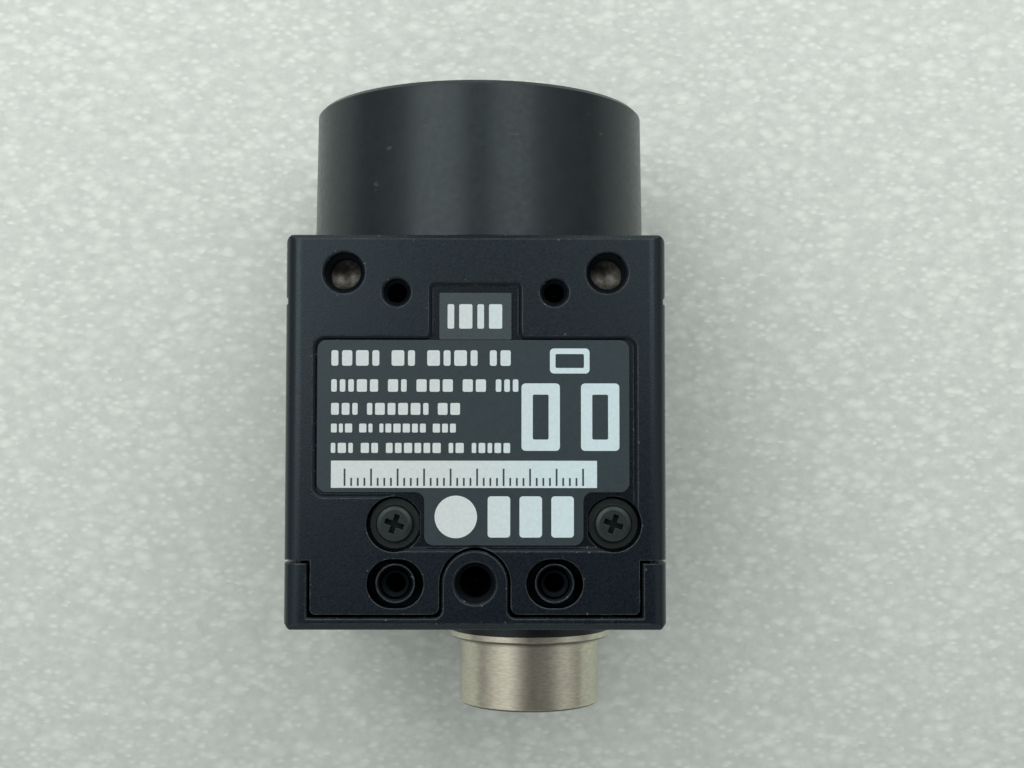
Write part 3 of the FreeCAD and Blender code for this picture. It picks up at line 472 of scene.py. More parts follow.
def sensor_silicon(name):
    """The chip's light-sensitive field inside a darker border, with a faint shimmer."""
    die = Surface(name, (0.05, 0.06, 0.09), 0.22, 0.7)
    edge = mm_box("sensor_die")[1]
    inside = die.product(
        die.between("X", -edge.x * 0.80, edge.x * 0.80),
        die.between("Z", -edge.z * 0.74, edge.z * 0.74),
    )
    shimmer = die.spread(die.grain(2.4, 2.0), 0.3, 0.7)
    field = die.blend(shimmer, (0.07, 0.10, 0.19), (0.14, 0.11, 0.20))
    die.set("Base Color", die.blend(inside, (0.16, 0.13, 0.07), field))
    die.set("Roughness", die.spread(inside, 0.0, 1.0, 0.34, 0.16))
    return die.done()


def foam_beads(foam, size, turn):
    """Soft oval beads of about size millimetres, each of its own strength."""
    turned = foam.add(
        "ShaderNodeMapping",
        {
            "Vector": foam.place(),
            "Rotation": (0.0, 0.0, math.radians(turn)),
            "Scale": (1 / size, 1.7 / size, 1 / size),
        },
    )
    cell = foam.add(
        "ShaderNodeTexVoronoi",
        {"Vector": turned.outputs[0], "Scale": 1.0, "Smoothness": 0.35},
        feature="SMOOTH_F1",
        voronoi_dimensions="2D",
    )
    near = foam.spread(cell.outputs["Distance"], 0.05, 0.60, 1.0, 0.0)
    level = foam.add("ShaderNodeSeparateColor", {0: cell.outputs["Color"]}).outputs[0]
    return foam.product(near, foam.math("POWER", level, 2.2))


def foam_sheet(name, stage):
    """Pale expanded foam: soft oval beads, a few of them bright, over a cloudy ground, with
    painted shade darkening it towards -Y.
    """
    foam = Surface(name, stage.floor_colour, 0.75)
    base = tuple(stage.floor_colour)
    cloud = foam.spread(foam.grain(1.1, 4.0, roughness=0.6), 0.30, 0.70)
    tint = foam.blend(cloud, shade(base, 0.90), shade(base, 1.05))
    tint = foam.blend(foam_beads(foam, 1.9, 55.0), tint, shade(base, 1.24))
    tint = foam.blend(foam_beads(foam, 0.95, 35.0), tint, shade(base, 1.26))
    dust = foam.spread(foam.grain(0.16, 2.0), 0.35, 0.65)
    tint = foam.blend(foam.product(dust, 0.16), tint, shade(base, 0.80))
    # Painted shade: the sheet darkens towards -Y, standing in for light falling off across the
    # floor.
    far = foam.math("POWER", foam.spread(foam.axis("Y"), -52.0, 28.0, 1.0, 0.0), 1.5)
    foam.set("Base Color", foam.blend(far, tint, (0.78, 0.78, 0.78), "MULTIPLY"))
    foam.bump(foam.grain(1.4, 3.0), 0.10)
    return foam.done()


FINISHES = {}


def finish(name, maker, *values):
    """Makes a finish the first time it is asked for, and then hands out the same one."""
    if name not in FINISHES:
        FINISHES[name] = maker(name, *values)
    return FINISHES[name]


def dress(material, *names):
    """Gives a finish to nodes that keep the shape they were packed with."""
    for name in names:
        if name not in NODES:
            raise RuntimeError(f"no node is named {name}")
        for slot in NODES[name].material_slots:
            slot.material = material


# ---------------------------------------------------------------- shapes


def add_piece(name, mesh_work, material, body=CASE):
    """Turns finished mesh work, drawn in millimetres, into a piece that rides on a body."""
    mesh_work.normal_update()
    bmesh.ops.scale(mesh_work, vec=(MM, MM, MM), verts=mesh_work.verts)
    bmesh.ops.recalc_face_normals(mesh_work, faces=mesh_work.faces)
    mesh = bpy.data.meshes.new(name)
    mesh_work.to_mesh(mesh)
    mesh_work.free()
    mesh.materials.append(material)
    mesh.shade_smooth()
    mesh.set_sharp_from_angle(angle=SHARP_ANGLE)
    piece = bpy.data.objects.new(name, mesh)
    bpy.context.scene.collection.objects.link(piece)
    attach(piece, body)
    return piece


def rounded_outline(x, y, width, height, radius, steps=5):
    """The corners of a rounded rectangle round (x, y), anticlockwise."""
    radius = min(radius, width / 2 - 1e-4, height / 2 - 1e-4)
    points = []
    corners = ((1, 1, 0), (-1, 1, 90), (-1, -1, 180), (1, -1, 270))
    for side_x, side_y, start in corners:
        centre_x = x + side_x * (width / 2 - radius)
        centre_y = y + side_y * (height / 2 - radius)
        for step in range(steps + 1):
            angle = math.radians(start + 90 * step / steps)
            points.append(
                (centre_x + radius * math.cos(angle), centre_y + radius * math.sin(angle))
            )
    return points


def add_plate(work, outline, low, high, hole=None):
    """A thin plate with that outline, standing from low to high, with or without a hole."""
    rings = []
    for height in (low, high):
        rings.append([work.verts.new((x, y, height)) for x, y in outline])
    count = len(outline)
    for i in range(count):
        j = (i + 1) % count
        work.faces.new((rings[0][i], rings[0][j], rings[1][j], rings[1][i]))
    if hole is None:
        work.faces.new(rings[1])
        work.faces.new(list(reversed(rings[0])))
        return
    inner = []
    for height in (low, high):
        inner.append([work.verts.new((x, y, height)) for x, y in hole])
    for i in range(count):
        j = (i + 1) % count
        work.faces.new((inner[0][j], inner[0][i], inner[1][i], inner[1][j]))
        work.faces.new((rings[1][i], rings[1][j], inner[1][j], inner[1][i]))
        work.faces.new((rings[0][j], rings[0][i], inner[0][i], inner[0][j]))


def axis_frame(axis):
    """Two directions square to axis."""
    first = axis.orthogonal().normalized()
    return first, axis.cross(first)


def add_thread(work, mouth, axis, wall, crest, pitch, start, length, segments):
    """A V thread standing in from a hole's wall. mouth is the hole's open end and axis
    points out of it; start and length are measured into the hole."""
    first, second = axis_frame(axis)
    steps = int(length / pitch * segments)
    run_out = segments / 2
    root = pitch * 0.46
    last = None
    for step in range(steps + 1):
        angle = 2 * math.pi * step / segments
        outward = first * math.cos(angle) + second * math.sin(angle)
        depth = start + pitch * step / segments
        grown = min(1.0, step / run_out, (steps - step) / run_out)
        tip = wall - (wall - crest) * grown
        centre = mouth - axis * depth
        ring = [
            work.verts.new(centre + axis * root + outward * (wall + 0.02)),
            work.verts.new(centre + axis * 0.06 * pitch + outward * tip),
            work.verts.new(centre - axis * 0.06 * pitch + outward * tip),
            work.verts.new(centre - axis * root + outward * (wall + 0.02)),
        ]
        if last:
            for i in range(3):
                work.faces.new((last[i], last[i + 1], ring[i + 1], ring[i]))
        last = ring


def add_turned(work, profile, centre, axis, segments):
    """Turns (radius, height) points round an axis. A radius of 0 closes to one point."""
    first, second = axis_frame(axis)
    rings = []
    for radius, height in profile:
        middle = centre + axis * height
        if radius <= 0:
            rings.append([work.verts.new(middle)])
            continue
        ring = []
        for i in range(segments):
            angle = 2 * math.pi * i / segments
            outward = first * math.cos(angle) + second * math.sin(angle)
            ring.append(work.verts.new(middle + outward * radius))
        rings.append(ring)
    for low, high in zip(rings, rings[1:]):
        for i in range(segments):
            j = (i + 1) % segments
            corners = [low[i % len(low)], low[j % len(low)]]
            corners += [high[j % len(high)], high[i % len(high)]]
            unique = list(dict.fromkeys(corners))
            if len(unique) > 2:
                work.faces.new(unique)


# Tapped holes, in millimetres from the mounting face or the mount's mouth.
HOLE_THREAD_START = 0.28
HOLE_THREAD_REACH = 1.7       # of the hole's radius
HOLE_THREAD_FACETS = 28
DRILL_FOOT_DEPTH = 3.38
DRILL_HALF_ANGLE = 59.0
DRILL_CLEARANCE = 0.02
DRILL_FACETS = 40
MOUNT_THREAD_START = 0.8
MOUNT_THREAD_FACETS = 120


def hole_places():
    """Mouths of the tapped holes in the mounting face: (x, y, radius, pattern)."""
    places = []
    for name in ("front_m3_holes", "rear_m3_hole", "m2_holes"):
        mount = MOUNTS[name]
        dims = mount["dims"]
        x, y, _ = (value / MM for value in mount["pos_m"])
        half_x = dims.get("spacing_x_mm", 0.0) / 2
        half_y = dims.get("spacing_y_mm", 0.0) / 2
        radius = dims.get("hole_r_mm", dims.get("r_mm"))
        spots = {(x + i * half_x, y + j * half_y) for i in (-1, 1) for j in (-1, 1)}
        places += [(a, b, radius, name) for a, b in sorted(spots)]
    return places


# Strokes of the plain letters, from foot to top and left to right of a unit square.
TOP = ((0, 1), (1, 1))
MIDDLE = ((0, 0.5), (1, 0.5))
FOOT = ((0, 0), (1, 0))
UPPER_LEFT = ((0, 0.5), (0, 1))
UPPER_RIGHT = ((1, 0.5), (1, 1))
LOWER_LEFT = ((0, 0), (0, 0.5))
LOWER_RIGHT = ((1, 0), (1, 0.5))
SLANT = ((0, 1), (1, 0))
STROKES = {
    "0": (TOP, FOOT, UPPER_LEFT, UPPER_RIGHT, LOWER_LEFT, LOWER_RIGHT),
    "1": (((0.5, 0), (0.5, 1)),),
    "2": (TOP, MIDDLE, FOOT, UPPER_RIGHT, LOWER_LEFT),
    "3": (TOP, MIDDLE, FOOT, UPPER_RIGHT, LOWER_RIGHT),
    "4": (MIDDLE, UPPER_LEFT, UPPER_RIGHT, LOWER_RIGHT),
    "5": (TOP, MIDDLE, FOOT, UPPER_LEFT, LOWER_RIGHT),
    "6": (TOP, MIDDLE, FOOT, UPPER_LEFT, LOWER_LEFT, LOWER_RIGHT),
    "7": (TOP, UPPER_RIGHT, LOWER_RIGHT),
    "8": (TOP, MIDDLE, FOOT, UPPER_LEFT, UPPER_RIGHT, LOWER_LEFT, LOWER_RIGHT),
    "9": (TOP, MIDDLE, FOOT, UPPER_LEFT, UPPER_RIGHT, LOWER_RIGHT),
    "O": (TOP, FOOT, UPPER_LEFT, UPPER_RIGHT, LOWER_LEFT, LOWER_RIGHT),
    "N": (UPPER_LEFT, UPPER_RIGHT, LOWER_LEFT, LOWER_RIGHT, SLANT),
}


# ---------------------------------------------------------------- settings


class CaseSettings(PropertyGroup):
    paint_colour: FloatVectorProperty(
        name="Paint colour",
        description="Body colour of the case paint",
        subtype="COLOR",
        default=(0.0036, 0.0062, 0.0102),
        min=0.0,
        max=1.0,
    )
    # The worn colour is also a painted highlight: the light that rounded edges would catch.
    worn_and_lit_colour: FloatVectorProperty(
        name="Worn colour",
        description="Colour of the paint where its edges are rubbed",
        subtype="COLOR",
        default=(0.125, 0.150, 0.152),
        min=0.0,
        max=1.0,
    )
    # This share sets both the edge wear and the painted highlight along the edges.
    edge_wear_and_highlight: FloatProperty(
        name="Edge wear",
        description="How far the edges turn to the worn colour",
        subtype="FACTOR",
        default=0.75,
        min=0.0,
        max=1.0,
    )
    edge_round: FloatProperty(
        name="Edge rounding",
        description="Radius that the edges are shaded with",
        unit="LENGTH",
        default=0.00015,
        precision=5,
    )
    grain_size: FloatProperty(
        name="Grain size",
        description="Size of the paint's finest texture",
        unit="LENGTH",
        default=0.00012,
        precision=5,
    )
    grain_depth: FloatProperty(
        name="Grain depth",
        description="Height of the paint's finest texture",
        unit="LENGTH",
        default=0.000004,
        precision=6,
    )


class CapSettings(PropertyGroup):
    colour: FloatVectorProperty(
        name="Cap colour",
        description="Colour of the dust cap's moulding",
        subtype="COLOR",
        default=(0.0064, 0.0118, 0.0142),
        min=0.0,
        max=1.0,
    )
    roughness: FloatProperty(
        name="Cap roughness",
        description="Roughness of the dust cap",
        subtype="FACTOR",
        default=0.32,
        min=0.06,
        max=0.94,
    )


class LabelSettings(PropertyGroup):
    film_colour: FloatVectorProperty(
        name="Film colour",
        description="Ground colour of the rating label",
        subtype="COLOR",
        default=(0.032, 0.046, 0.052),
        min=0.0,
        max=1.0,
    )
    date_colour: FloatVectorProperty(
        name="Date film colour",
        description="Ground colour of the small upper label",
        subtype="COLOR",
        default=(0.050, 0.065, 0.070),
        min=0.0,
        max=1.0,
    )
    ink_colour: FloatVectorProperty(
        name="Ink colour",
        description="Colour of the pale print",
        subtype="COLOR",
        default=(0.63, 0.695, 0.685),
        min=0.0,
        max=1.0,
    )
    ink_height: FloatProperty(
        name="Ink height",
        description="How far the print stands above its film",
        unit="LENGTH",
        default=0.000008,
        precision=6,
    )
    seed: IntProperty(
        name="Print seed",
        description="Picks the lengths of the printed bars",
        default=7,
        min=0,
    )


class ThreadSettings(PropertyGroup):
    small_pitch: FloatProperty(
        name="M2 pitch",
        description="Pitch of the M2 threads",
        unit="LENGTH",
        default=0.0004,
        precision=5,
    )
    large_pitch: FloatProperty(
        name="M3 pitch",
        description="Pitch of the M3 threads",
        unit="LENGTH",
        default=0.0005,
        precision=5,
    )
    mount_pitch: FloatProperty(
        name="Lens thread pitch",
        description="Pitch of the lens mount's thread",
        unit="LENGTH",
        default=0.0254 / 32,
        precision=5,
    )
    thread_share: FloatProperty(
        name="Thread depth",
        description="Thread height as a share of its pitch",
        subtype="FACTOR",
        default=0.54,
        min=0.1,
        max=0.8,
    )


class MetalSettings(PropertyGroup):
    nickel_colour: FloatVectorProperty(
        name="Nickel colour",
        description="Colour of the connector's plating",
        subtype="COLOR",
        default=(0.69, 0.655, 0.530),
        min=0.0,
        max=1.0,
    )


class StageSettings(PropertyGroup):
    focal_length: FloatProperty(
        name="Focal length",
        description="Focal length of the viewing camera on a 36 mm sensor",
        subtype="DISTANCE_CAMERA",
        default=48.58,
    )
    eye: FloatVectorProperty(
        name="Eye",
        description="Where the viewing camera stands",
        subtype="TRANSLATION",
        unit="LENGTH",
        default=(0.002464, -0.01897, 0.11886),
    )
    tilt: FloatVectorProperty(
        name="Tilt",
        description="Turn of the viewing camera from straight down",
        subtype="EULER",
        unit="ROTATION",
        default=(0.044, -0.003, 0.001),
    )
    floor_colour: FloatVectorProperty(
        name="Floor colour",
        description="Colour of the pale sheet the part lies on",
        subtype="COLOR",
        default=(0.718, 0.774, 0.722),
        min=0.0,
        max=1.0,
    )
    left_power: FloatProperty(
        name="Left lamp power",
        description="Power of the large soft lamp on the left",
        unit="POWER",
        default=1.29,
    )
    right_power: FloatProperty(
        name="Right lamp power",
        description="Power of the smaller soft lamp on the right",
        unit="POWER",
        default=0.80,
    )
    sky_strength: FloatProperty(
        name="Room light",
        description="Strength of the even light from all round",
        default=1.0,
        min=0.0,
    )


# ---------------------------------------------------------------- operators


FLOOR_HALF = 3.0
# Where each lamp hangs, facing straight down, and its size, in metres.
LEFT_LAMP = ((-0.258, 0.250, 0.45), (0.38, 0.56))
RIGHT_LAMP = ((0.205, 0.27, 0.45), (0.28, 0.52))


class STAGE_OT_build(Operator):
    """Lays the pale floor and sets the soft lamps, the room light and the camera"""

    bl_idname = "cube_camera.stage"
    bl_label = "Stage"

    def execute(self, context):
        stage = context.scene.cube_stage
        low = CAD_BOX[0]
        work = bmesh.new()
        bmesh.ops.create_grid(work, x_segments=8, y_segments=8, size=FLOOR_HALF)
        mesh = bpy.data.meshes.new("floor")
        work.to_mesh(mesh)
        work.free()
        floor = bpy.data.objects.new("floor", mesh)
        floor.location.z = low[2]
        mesh.materials.append(finish("foam_sheet", foam_sheet, stage))
        context.scene.collection.objects.link(floor)
        self.lamp(context, "left_lamp", *LEFT_LAMP, stage.left_power)
        self.lamp(context, "right_lamp", *RIGHT_LAMP, stage.right_power)
        self.room(context, stage)
        self.camera(context, stage)
        context.scene.view_settings.view_transform = "Standard"
        return {"FINISHED"}

    def lamp(self, context, name, place, size, power):
        light = bpy.data.lights.new(name, "AREA")
        light.shape = "RECTANGLE"
        light.size, light.size_y = size
        light.energy = power
        lamp = bpy.data.objects.new(name, light)
        lamp.location = place
        lamp.visible_camera = False
        context.scene.collection.objects.link(lamp)

    def room(self, context, stage):
        """A plain room: dim walls to the sides, paler ones behind and before, and a dark
        patch overhead where a viewer would lean over the part."""
        world = bpy.data.worlds.new("room")
        world.use_nodes = True
        context.scene.world = world
        tree = world.node_tree

        def add(kind, inputs, **settings):
            node = tree.nodes.new(kind)
            for key, value in settings.items():
                setattr(node, key, value)
            for key, value in inputs.items():
                if isinstance(value, bpy.types.NodeSocket):
                    tree.links.new(value, node.inputs[key])
                else:
                    node.inputs[key].default_value = value
            return node

        def math_node(operation, first, second):
            return add("ShaderNodeMath", {0: first, 1: second}, operation=operation).outputs[0]

        def spread(value, low, high, to_low, to_high):
            inputs = {0: value, 1: low, 2: high, 3: to_low, 4: to_high}
            return add("ShaderNodeMapRange", inputs).outputs[0]

        look = add("ShaderNodeTexCoord", {}).outputs["Generated"]
        split = add("ShaderNodeSeparateXYZ", {0: look})
        high, ahead = split.outputs["Z"], split.outputs["Y"]
        walls = spread(high, 0.0, 0.6, 0.18, 0.66)
        roof = spread(high, 0.8, 1.0, 1.0, 0.50)
        level = math_node("MULTIPLY", walls, roof)
        ends = math_node("MULTIPLY", ahead, ahead)
        ends = math_node("MULTIPLY", ends, spread(ahead, 0.0, 1.0, 0.08, 0.50))
        level = math_node("ADD", level, ends)
        aside = add("ShaderNodeVectorMath", {0: look, 1: (-0.20, 0.24, 0.0)}, operation="ADD")
        squeezed = add(
            "ShaderNodeVectorMath",
            {0: aside.outputs[0], 1: (1 / 0.60, 1 / 0.31, 0.0)},
            operation="MULTIPLY",
        )
        reach = add("ShaderNodeVectorMath", {0: squeezed.outputs[0]}, operation="LENGTH")
        viewer = spread(reach.outputs["Value"], 0.70, 1.20, 0.06, 1.0)
        level = math_node("MULTIPLY", level, viewer)
        strength = math_node("MULTIPLY", level, stage.sky_strength)
        sky = tree.nodes["Background"]
        sky.inputs["Color"].default_value = (0.985, 1.0, 0.985, 1)
        tree.links.new(strength, sky.inputs["Strength"])

    def camera(self, context, stage):
        data = bpy.data.cameras.new("viewing_camera")
        data.sensor_width = 36.0
        data.lens = stage.focal_length
        data.clip_start = 0.005
        camera = bpy.data.objects.new("viewing_camera", data)
        turn = Matrix.Identity(3)
        for angle, axis in zip(stage.tilt, "XYZ"):
            turn = turn @ Matrix.Rotation(angle, 3, axis)
        camera.matrix_world = Matrix.Translation(stage.eye) @ turn.to_4x4()
        context.scene.collection.objects.link(camera)
        context.scene.camera = camera


class CASE_OT_paint(Operator):
    """Paints the chassis, top cover and rear panel"""

    bl_idname = "cube_camera.case"
    bl_label = "Case paint"

    def execute(self, context):
        paint = finish("case_paint", case_paint, context.scene.cube_case)
        dress(paint, "chassis", "top_cover", "rear_panel")
        return {"FINISHED"}


class CASE_OT_threads(Operator):
    """Cuts visible threads and bright drill points into the mounting holes"""

    bl_idname = "cube_camera.threads"
    bl_label = "Mounting hole threads"

    def execute(self, context):
        threads = context.scene.cube_threads
        face = mm_box("chassis")[1].z
        dark = finish("thread_black", thread_black)
        ridges = bmesh.new()
        points = bmesh.new()
        for x, y, radius, pattern in hole_places():
            pitch = (threads.small_pitch if pattern == "m2_holes" else threads.large_pitch) / MM
            crest = radius - pitch * threads.thread_share
            mouth = Vector((x, y, face))
            span = (HOLE_THREAD_START, HOLE_THREAD_REACH * radius)
            add_thread(ridges, mouth, ALONG_Z, radius, crest, pitch, *span, HOLE_THREAD_FACETS)
            if pattern == "front_m3_holes":
                foot = mouth - ALONG_Z * DRILL_FOOT_DEPTH
                slope = radius / math.tan(math.radians(DRILL_HALF_ANGLE))
                rim = (radius - DRILL_CLEARANCE, 0.0)
                tip = (0.0, DRILL_CLEARANCE - slope)
                add_turned(points, [rim, tip], foot, ALONG_Z, DRILL_FACETS)
        add_piece("hole_threads", ridges, dark)
        add_piece("drill_points", points, finish("bright_cut", bright_cut))
        return {"FINISHED"}


class MOUNT_OT_lens(Operator):
    """Finishes the lens mount ring and cuts its thread"""

    bl_idname = "cube_camera.lens_mount"
    bl_label = "Lens mount"

    def execute(self, context):
        threads = context.scene.cube_threads
        dark = finish("turned_black", turned_black)
        dress(dark, "lens_mount_ring", "filter_retainer")
        mount = MOUNTS["lens_mount"]
        radius = mount["dims"]["r_mm"]
        pitch = threads.mount_pitch / MM
        crest = radius - pitch * threads.thread_share
        mouth = Vector(mount["pos_m"]) / MM
        work = bmesh.new()
        span = (MOUNT_THREAD_START, mount["dims"]["length_mm"] - 2 * MOUNT_THREAD_START)
        add_thread(work, mouth, ALONG_Y, radius, crest, pitch, *span, MOUNT_THREAD_FACETS)
        add_piece("mount_thread", work, dark)
        return {"FINISHED"}


class CAP_OT_finish(Operator):
    """Finishes the dust cap"""

    bl_idname = "cube_camera.cap"
    bl_label = "Dust cap"

    def execute(self, context):
        dress(finish("cap_finish", cap_finish, context.scene.cube_cap), "dust_cap")
        return {"FINISHED"}


class LABEL_OT_print(Operator):
    """Finishes both labels and prints plain bars and blocks where their text would be"""

    bl_idname = "cube_camera.labels"
    bl_label = "Labels"

    def execute(self, context):
        label = context.scene.cube_label
        film = finish("rating_film", film_finish, tuple(label.film_colour))
        dress(film, "rating_label")
        dress(finish("date_film", film_finish, tuple(label.date_colour)), "date_label")
        colour = tuple(label.ink_colour)
        ink = finish("pale_ink", ink_finish, colour, (0.61, 0.755, 0.785))
        low, high = mm_box("rating_label")
        self.top = high.z + label.ink_height / MM
        self.base = high.z - 0.02
        add_piece("label_text_bars", self.text_bars(low, high, label.seed), ink)
        add_piece("label_blocks", self.blocks(low, high), ink)
        add_piece("label_scale_strip", self.strip(low, high), ink)
        dark = finish("dark_ink", ink_finish, shade(tuple(label.film_colour), 0.9))
        add_piece("label_scale_ticks", self.ticks(low, high), dark)
        low, high = mm_box("date_label")
        add_piece("date_bars", self.date_bars(low, high), ink)
        return {"FINISHED"}

    def bar(self, work, left, right, front, rear, radius, span=None):
        """One printed bar. span is its lowest and highest level, else the pale ink's."""
        outline = rounded_outline(
            (left + right) / 2, (front + rear) / 2, right - left, front - rear, radius
        )
        add_plate(work, outline, *(span or (self.base, self.top)))

    def text_bars(self, low, high, seed):
        """Rows of plain bars in groups as long as words, drawn by the seed's dice."""
        dice = random.Random(seed)
        work = bmesh.new()
        margin = 1.05
        # (depth below the label's upper edge, height, length) of each row
        rows = (
            (0.58, 1.55, 13.8),
            (2.82, 1.24, 14.5),
            (4.62, 1.18, 10.2),
            (6.22, 0.88, 9.5),
            (7.66, 1.00, 14.5),
        )
        for depth, height, length in rows:
            x = low.x + margin
            end = x + length
            front = high.y - depth - height * 0.12
            while x < end - height * 0.4:
                for _ in range(dice.randint(2, 6)):
                    width = height * dice.choice((0.34, 0.50, 0.62))
                    if x + width > end:
                        break
                    self.bar(work, x, x + width, front, front - height * 0.76, height * 0.10)
                    x += width + height * 0.18
                x += height * 0.42
        return work

    def blocks(self, low, high):
        """Plain outlined and solid shapes in place of the marks on the right."""
        work = bmesh.new()
        left = low.x + 17.6
        self.frame(work, left + 1.5, high.y - 1.57, 3.0, 1.9, 0.42)
        for x in (16.9, 21.4):
            self.frame(work, low.x + x, high.y - 5.82, 2.9, 5.1, 0.85)
        disc = rounded_outline(low.x + 10.5, high.y - 13.35, 3.2, 3.2, 1.6, 12)
        add_plate(work, disc, self.base, self.top)
        for x in (12.9, 15.3, 17.7):
            left = low.x + x
            self.bar(work, left, left + 1.7, high.y - 11.8, high.y - 14.9, 0.25)
        return work

    def frame(self, work, x, y, width, height, band):
        outline = rounded_outline(x, y, width, height, 0.3)
        hole = rounded_outline(x, y, width - 2 * band, height - 2 * band, 0.12)
        add_plate(work, outline, self.base, self.top, hole)

    def strip(self, low, high):
        work = bmesh.new()
        self.bar(work, low.x + 1.07, low.x + 21.15, high.y - 9.12, high.y - 11.17, 0.02)
        return work

    def ticks(self, low, high):
        """A plain ruled scale along the strip, printed over its ink."""
        work = bmesh.new()
        span = (self.top - 0.002, self.top + 0.006)
        half_width = 0.07
        pitch = 0.5
        rear = high.y - 11.02
        for i in range(37):
            x = low.x + 2.1 + pitch * i
            length = 1.3 if i % 4 == 0 else 0.6
            self.bar(work, x - half_width, x + half_width, rear + length, rear, 0.01, span)
        return work

    def date_bars(self, low, high):
        work = bmesh.new()
        front = high.y - 0.86
        for x, width in ((0.62, 0.5), (1.5, 1.0), (2.88, 0.5), (3.76, 1.0)):
            left = low.x + x
            self.bar(work, left, left + width, front, front - 1.86, 0.12)
        return work


class SCREW_OT_finish(Operator):
    """Finishes the cover screws and the rear screws"""

    bl_idname = "cube_camera.screws"
    bl_label = "Screws"

    def execute(self, context):
        names = [name for name in NODES if "_screw_" in name]
        dress(finish("oxide_black", oxide_black), *names)
        return {"FINISHED"}


class OPTICS_OT_finish(Operator):
    """Finishes the filter, the chamber and the image sensor behind the mount"""

    bl_idname = "cube_camera.optics"
    bl_label = "Imaging stack"

    def execute(self, context):
        for node, name, colour, roughness in (
            ("optical_chamber", "chamber_black", (0.010, 0.010, 0.011), 0.62),
            ("dust_seal", "seal_rubber", (0.018, 0.018, 0.019), 0.72),
        ):
            dress(finish(name, moulded, colour, roughness), node)
        for node, name, tint in (
            ("filter_glass", "filter_glass", (0.80, 0.93, 0.90)),
            ("sensor_window", "cover_glass", (0.95, 0.97, 0.98)),
        ):
            dress(finish(name, coated_glass, tint), node)
        package = finish("alumina", moulded, (0.34, 0.30, 0.26), 0.55, 0.08, 0.004)
        dress(package, "sensor_package")
        dress(finish("sensor_silicon", sensor_silicon), "sensor_die")
        return {"FINISHED"}


class BOARD_OT_finish(Operator):
    """Finishes the circuit boards, their frame and their spacers"""

    bl_idname = "cube_camera.boards"
    bl_label = "Boards"

    def execute(self, context):
        dress(finish("solder_mask", solder_mask), "sensor_board", "signal_board", "io_board")
        dress(finish("pressed_steel", pressed_steel), "board_frame")
        plate = finish("nickel_plate", nickel_plate, context.scene.cube_metal)
        dress(plate, *[name for name in NODES if "_spacer_" in name])
        return {"FINISHED"}


class SOCKET_OT_finish(Operator):
    """Finishes the multi-pin socket on the rear"""

    bl_idname = "cube_camera.socket"
    bl_label = "Camera connector"

    def execute(self, context):
        plate = finish("nickel_plate", nickel_plate, context.scene.cube_metal)
        dress(plate, "connector_shell", "connector_nut")
        ring = finish("ring_black", moulded, (0.004, 0.005, 0.006), 0.34)
        dress(ring, "connector_ring", "connector_insert")
        dress(finish("gold_plate", gold_plate), "contact_pins")
        return {"FINISHED"}


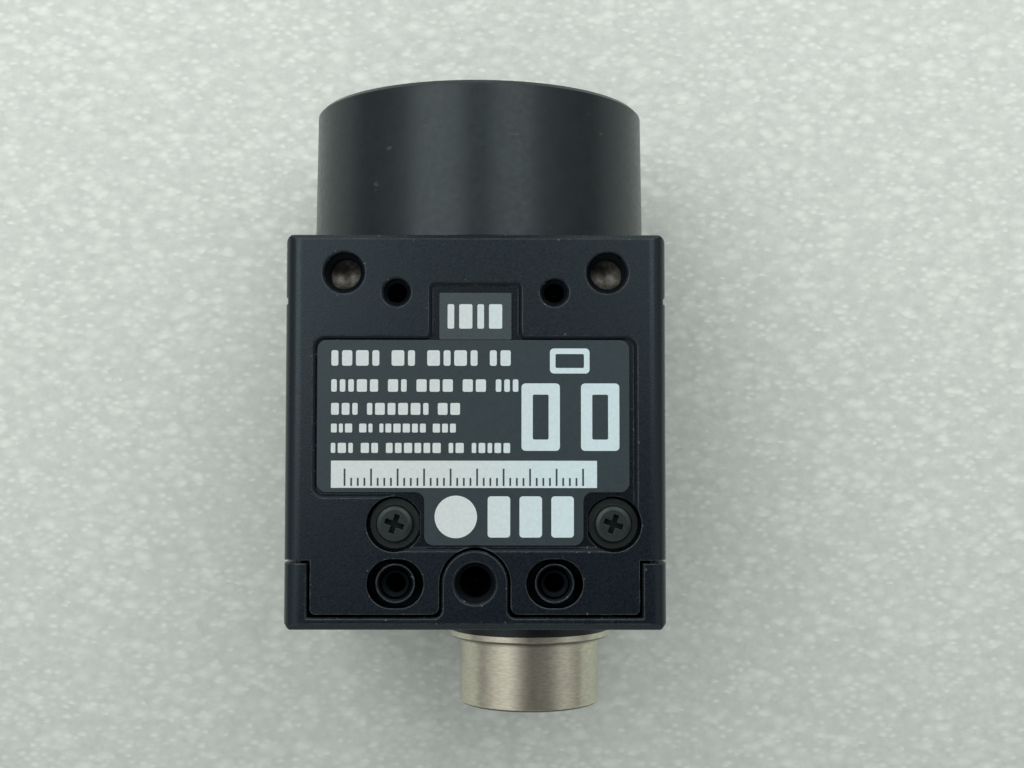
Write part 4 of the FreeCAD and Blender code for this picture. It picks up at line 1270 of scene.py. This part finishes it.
class CONTROL_OT_finish(Operator):
    """Finishes the rear switches and numbers the switch bank"""

    bl_idname = "cube_camera.controls"
    bl_label = "Rear controls"

    def execute(self, context):
        blue = finish("switch_blue", moulded, (0.020, 0.055, 0.16), 0.42)
        dress(blue, "dip_housing", "trimmer_body")
        white = finish("lever_white", moulded, (0.66, 0.65, 0.60), 0.45)
        dress(white, "trimmer_rotor", "sync_switch_knob", "termination_switch_knob")
        dress(white, *[name for name in NODES if name.startswith("dip_slider_")])
        dark = finish("switch_black", moulded, (0.014, 0.014, 0.015), 0.5)
        dress(dark, "sync_switch_body", "termination_switch_body")
        print_white = finish("switch_print", ink_finish, (0.62, 0.63, 0.60))
        add_piece("switch_numbers", self.numbers(), print_white)
        return {"FINISHED"}

    def numbers(self):
        """Numbers beside the levers and ON at their far side, drawn flat, then stood up."""
        work = bmesh.new()
        low, high = mm_box("dip_housing")
        levers = sorted(name for name in NODES if name.startswith("dip_slider_"))
        height = 0.58
        for name in levers:
            first, last = mm_box(name)
            foot = (first.z + last.z - height) / 2
            self.write(work, name.rsplit("_", 1)[1], high.x - 1.28, foot, height, -low.y)
        self.write(work, "ON", low.x + 0.22, high.z - 0.62, 0.40, -low.y)
        stand = Matrix.Rotation(math.radians(90), 4, "X")
        bmesh.ops.transform(work, matrix=stand, verts=work.verts)
        return work

    def write(self, work, text, left, foot, height, face):
        """Text in plain strokes, height tall, with its first letter at left."""
        width = height * 0.52
        gap = 0.20
        half_stroke = 0.045
        span = (face - 0.02, face + 0.012)
        for letter in text:
            for stroke in STROKES[letter]:
                start, end = (
                    Vector((left + across * width, foot + up * height)) for across, up in stroke
                )
                along = (end - start).normalized() * half_stroke
                side = Vector((-along.y, along.x))
                start, end = start - along, end + along
                corners = (start - side, end - side, end + side, start + side)
                add_plate(work, [tuple(corner) for corner in corners], *span)
            left += width + gap


OPERATORS = (
    STAGE_OT_build,
    CASE_OT_paint,
    CASE_OT_threads,
    MOUNT_OT_lens,
    CAP_OT_finish,
    LABEL_OT_print,
    SCREW_OT_finish,
    OPTICS_OT_finish,
    BOARD_OT_finish,
    SOCKET_OT_finish,
    CONTROL_OT_finish,
)


class CAMERA_PT_pieces(Panel):
    """Lists every piece of the camera that can be built"""

    bl_idname = "CAMERA_PT_pieces"
    bl_label = "Cube Camera"
    bl_space_type = "VIEW_3D"
    bl_region_type = "UI"
    bl_category = "Cube Camera"

    def draw(self, context):
        column = self.layout.column(align=True)
        for operator in OPERATORS:
            column.operator(operator.bl_idname)


SETTINGS = {
    "cube_stage": StageSettings,
    "cube_case": CaseSettings,
    "cube_cap": CapSettings,
    "cube_label": LabelSettings,
    "cube_threads": ThreadSettings,
    "cube_metal": MetalSettings,
}


def register():
    for name, settings in SETTINGS.items():
        bpy.utils.register_class(settings)
        setattr(bpy.types.Scene, name, PointerProperty(type=settings))
    for operator in OPERATORS:
        bpy.utils.register_class(operator)
    bpy.utils.register_class(CAMERA_PT_pieces)


def unregister():
    bpy.utils.unregister_class(CAMERA_PT_pieces)
    for operator in reversed(OPERATORS):
        bpy.utils.unregister_class(operator)
    for name, settings in SETTINGS.items():
        delattr(bpy.types.Scene, name)
        bpy.utils.unregister_class(settings)


def main():
    register()
    for operator in OPERATORS:
        group, name = operator.bl_idname.split(".")
        getattr(getattr(bpy.ops, group), name)()


if __name__ == "__main__":
    main()
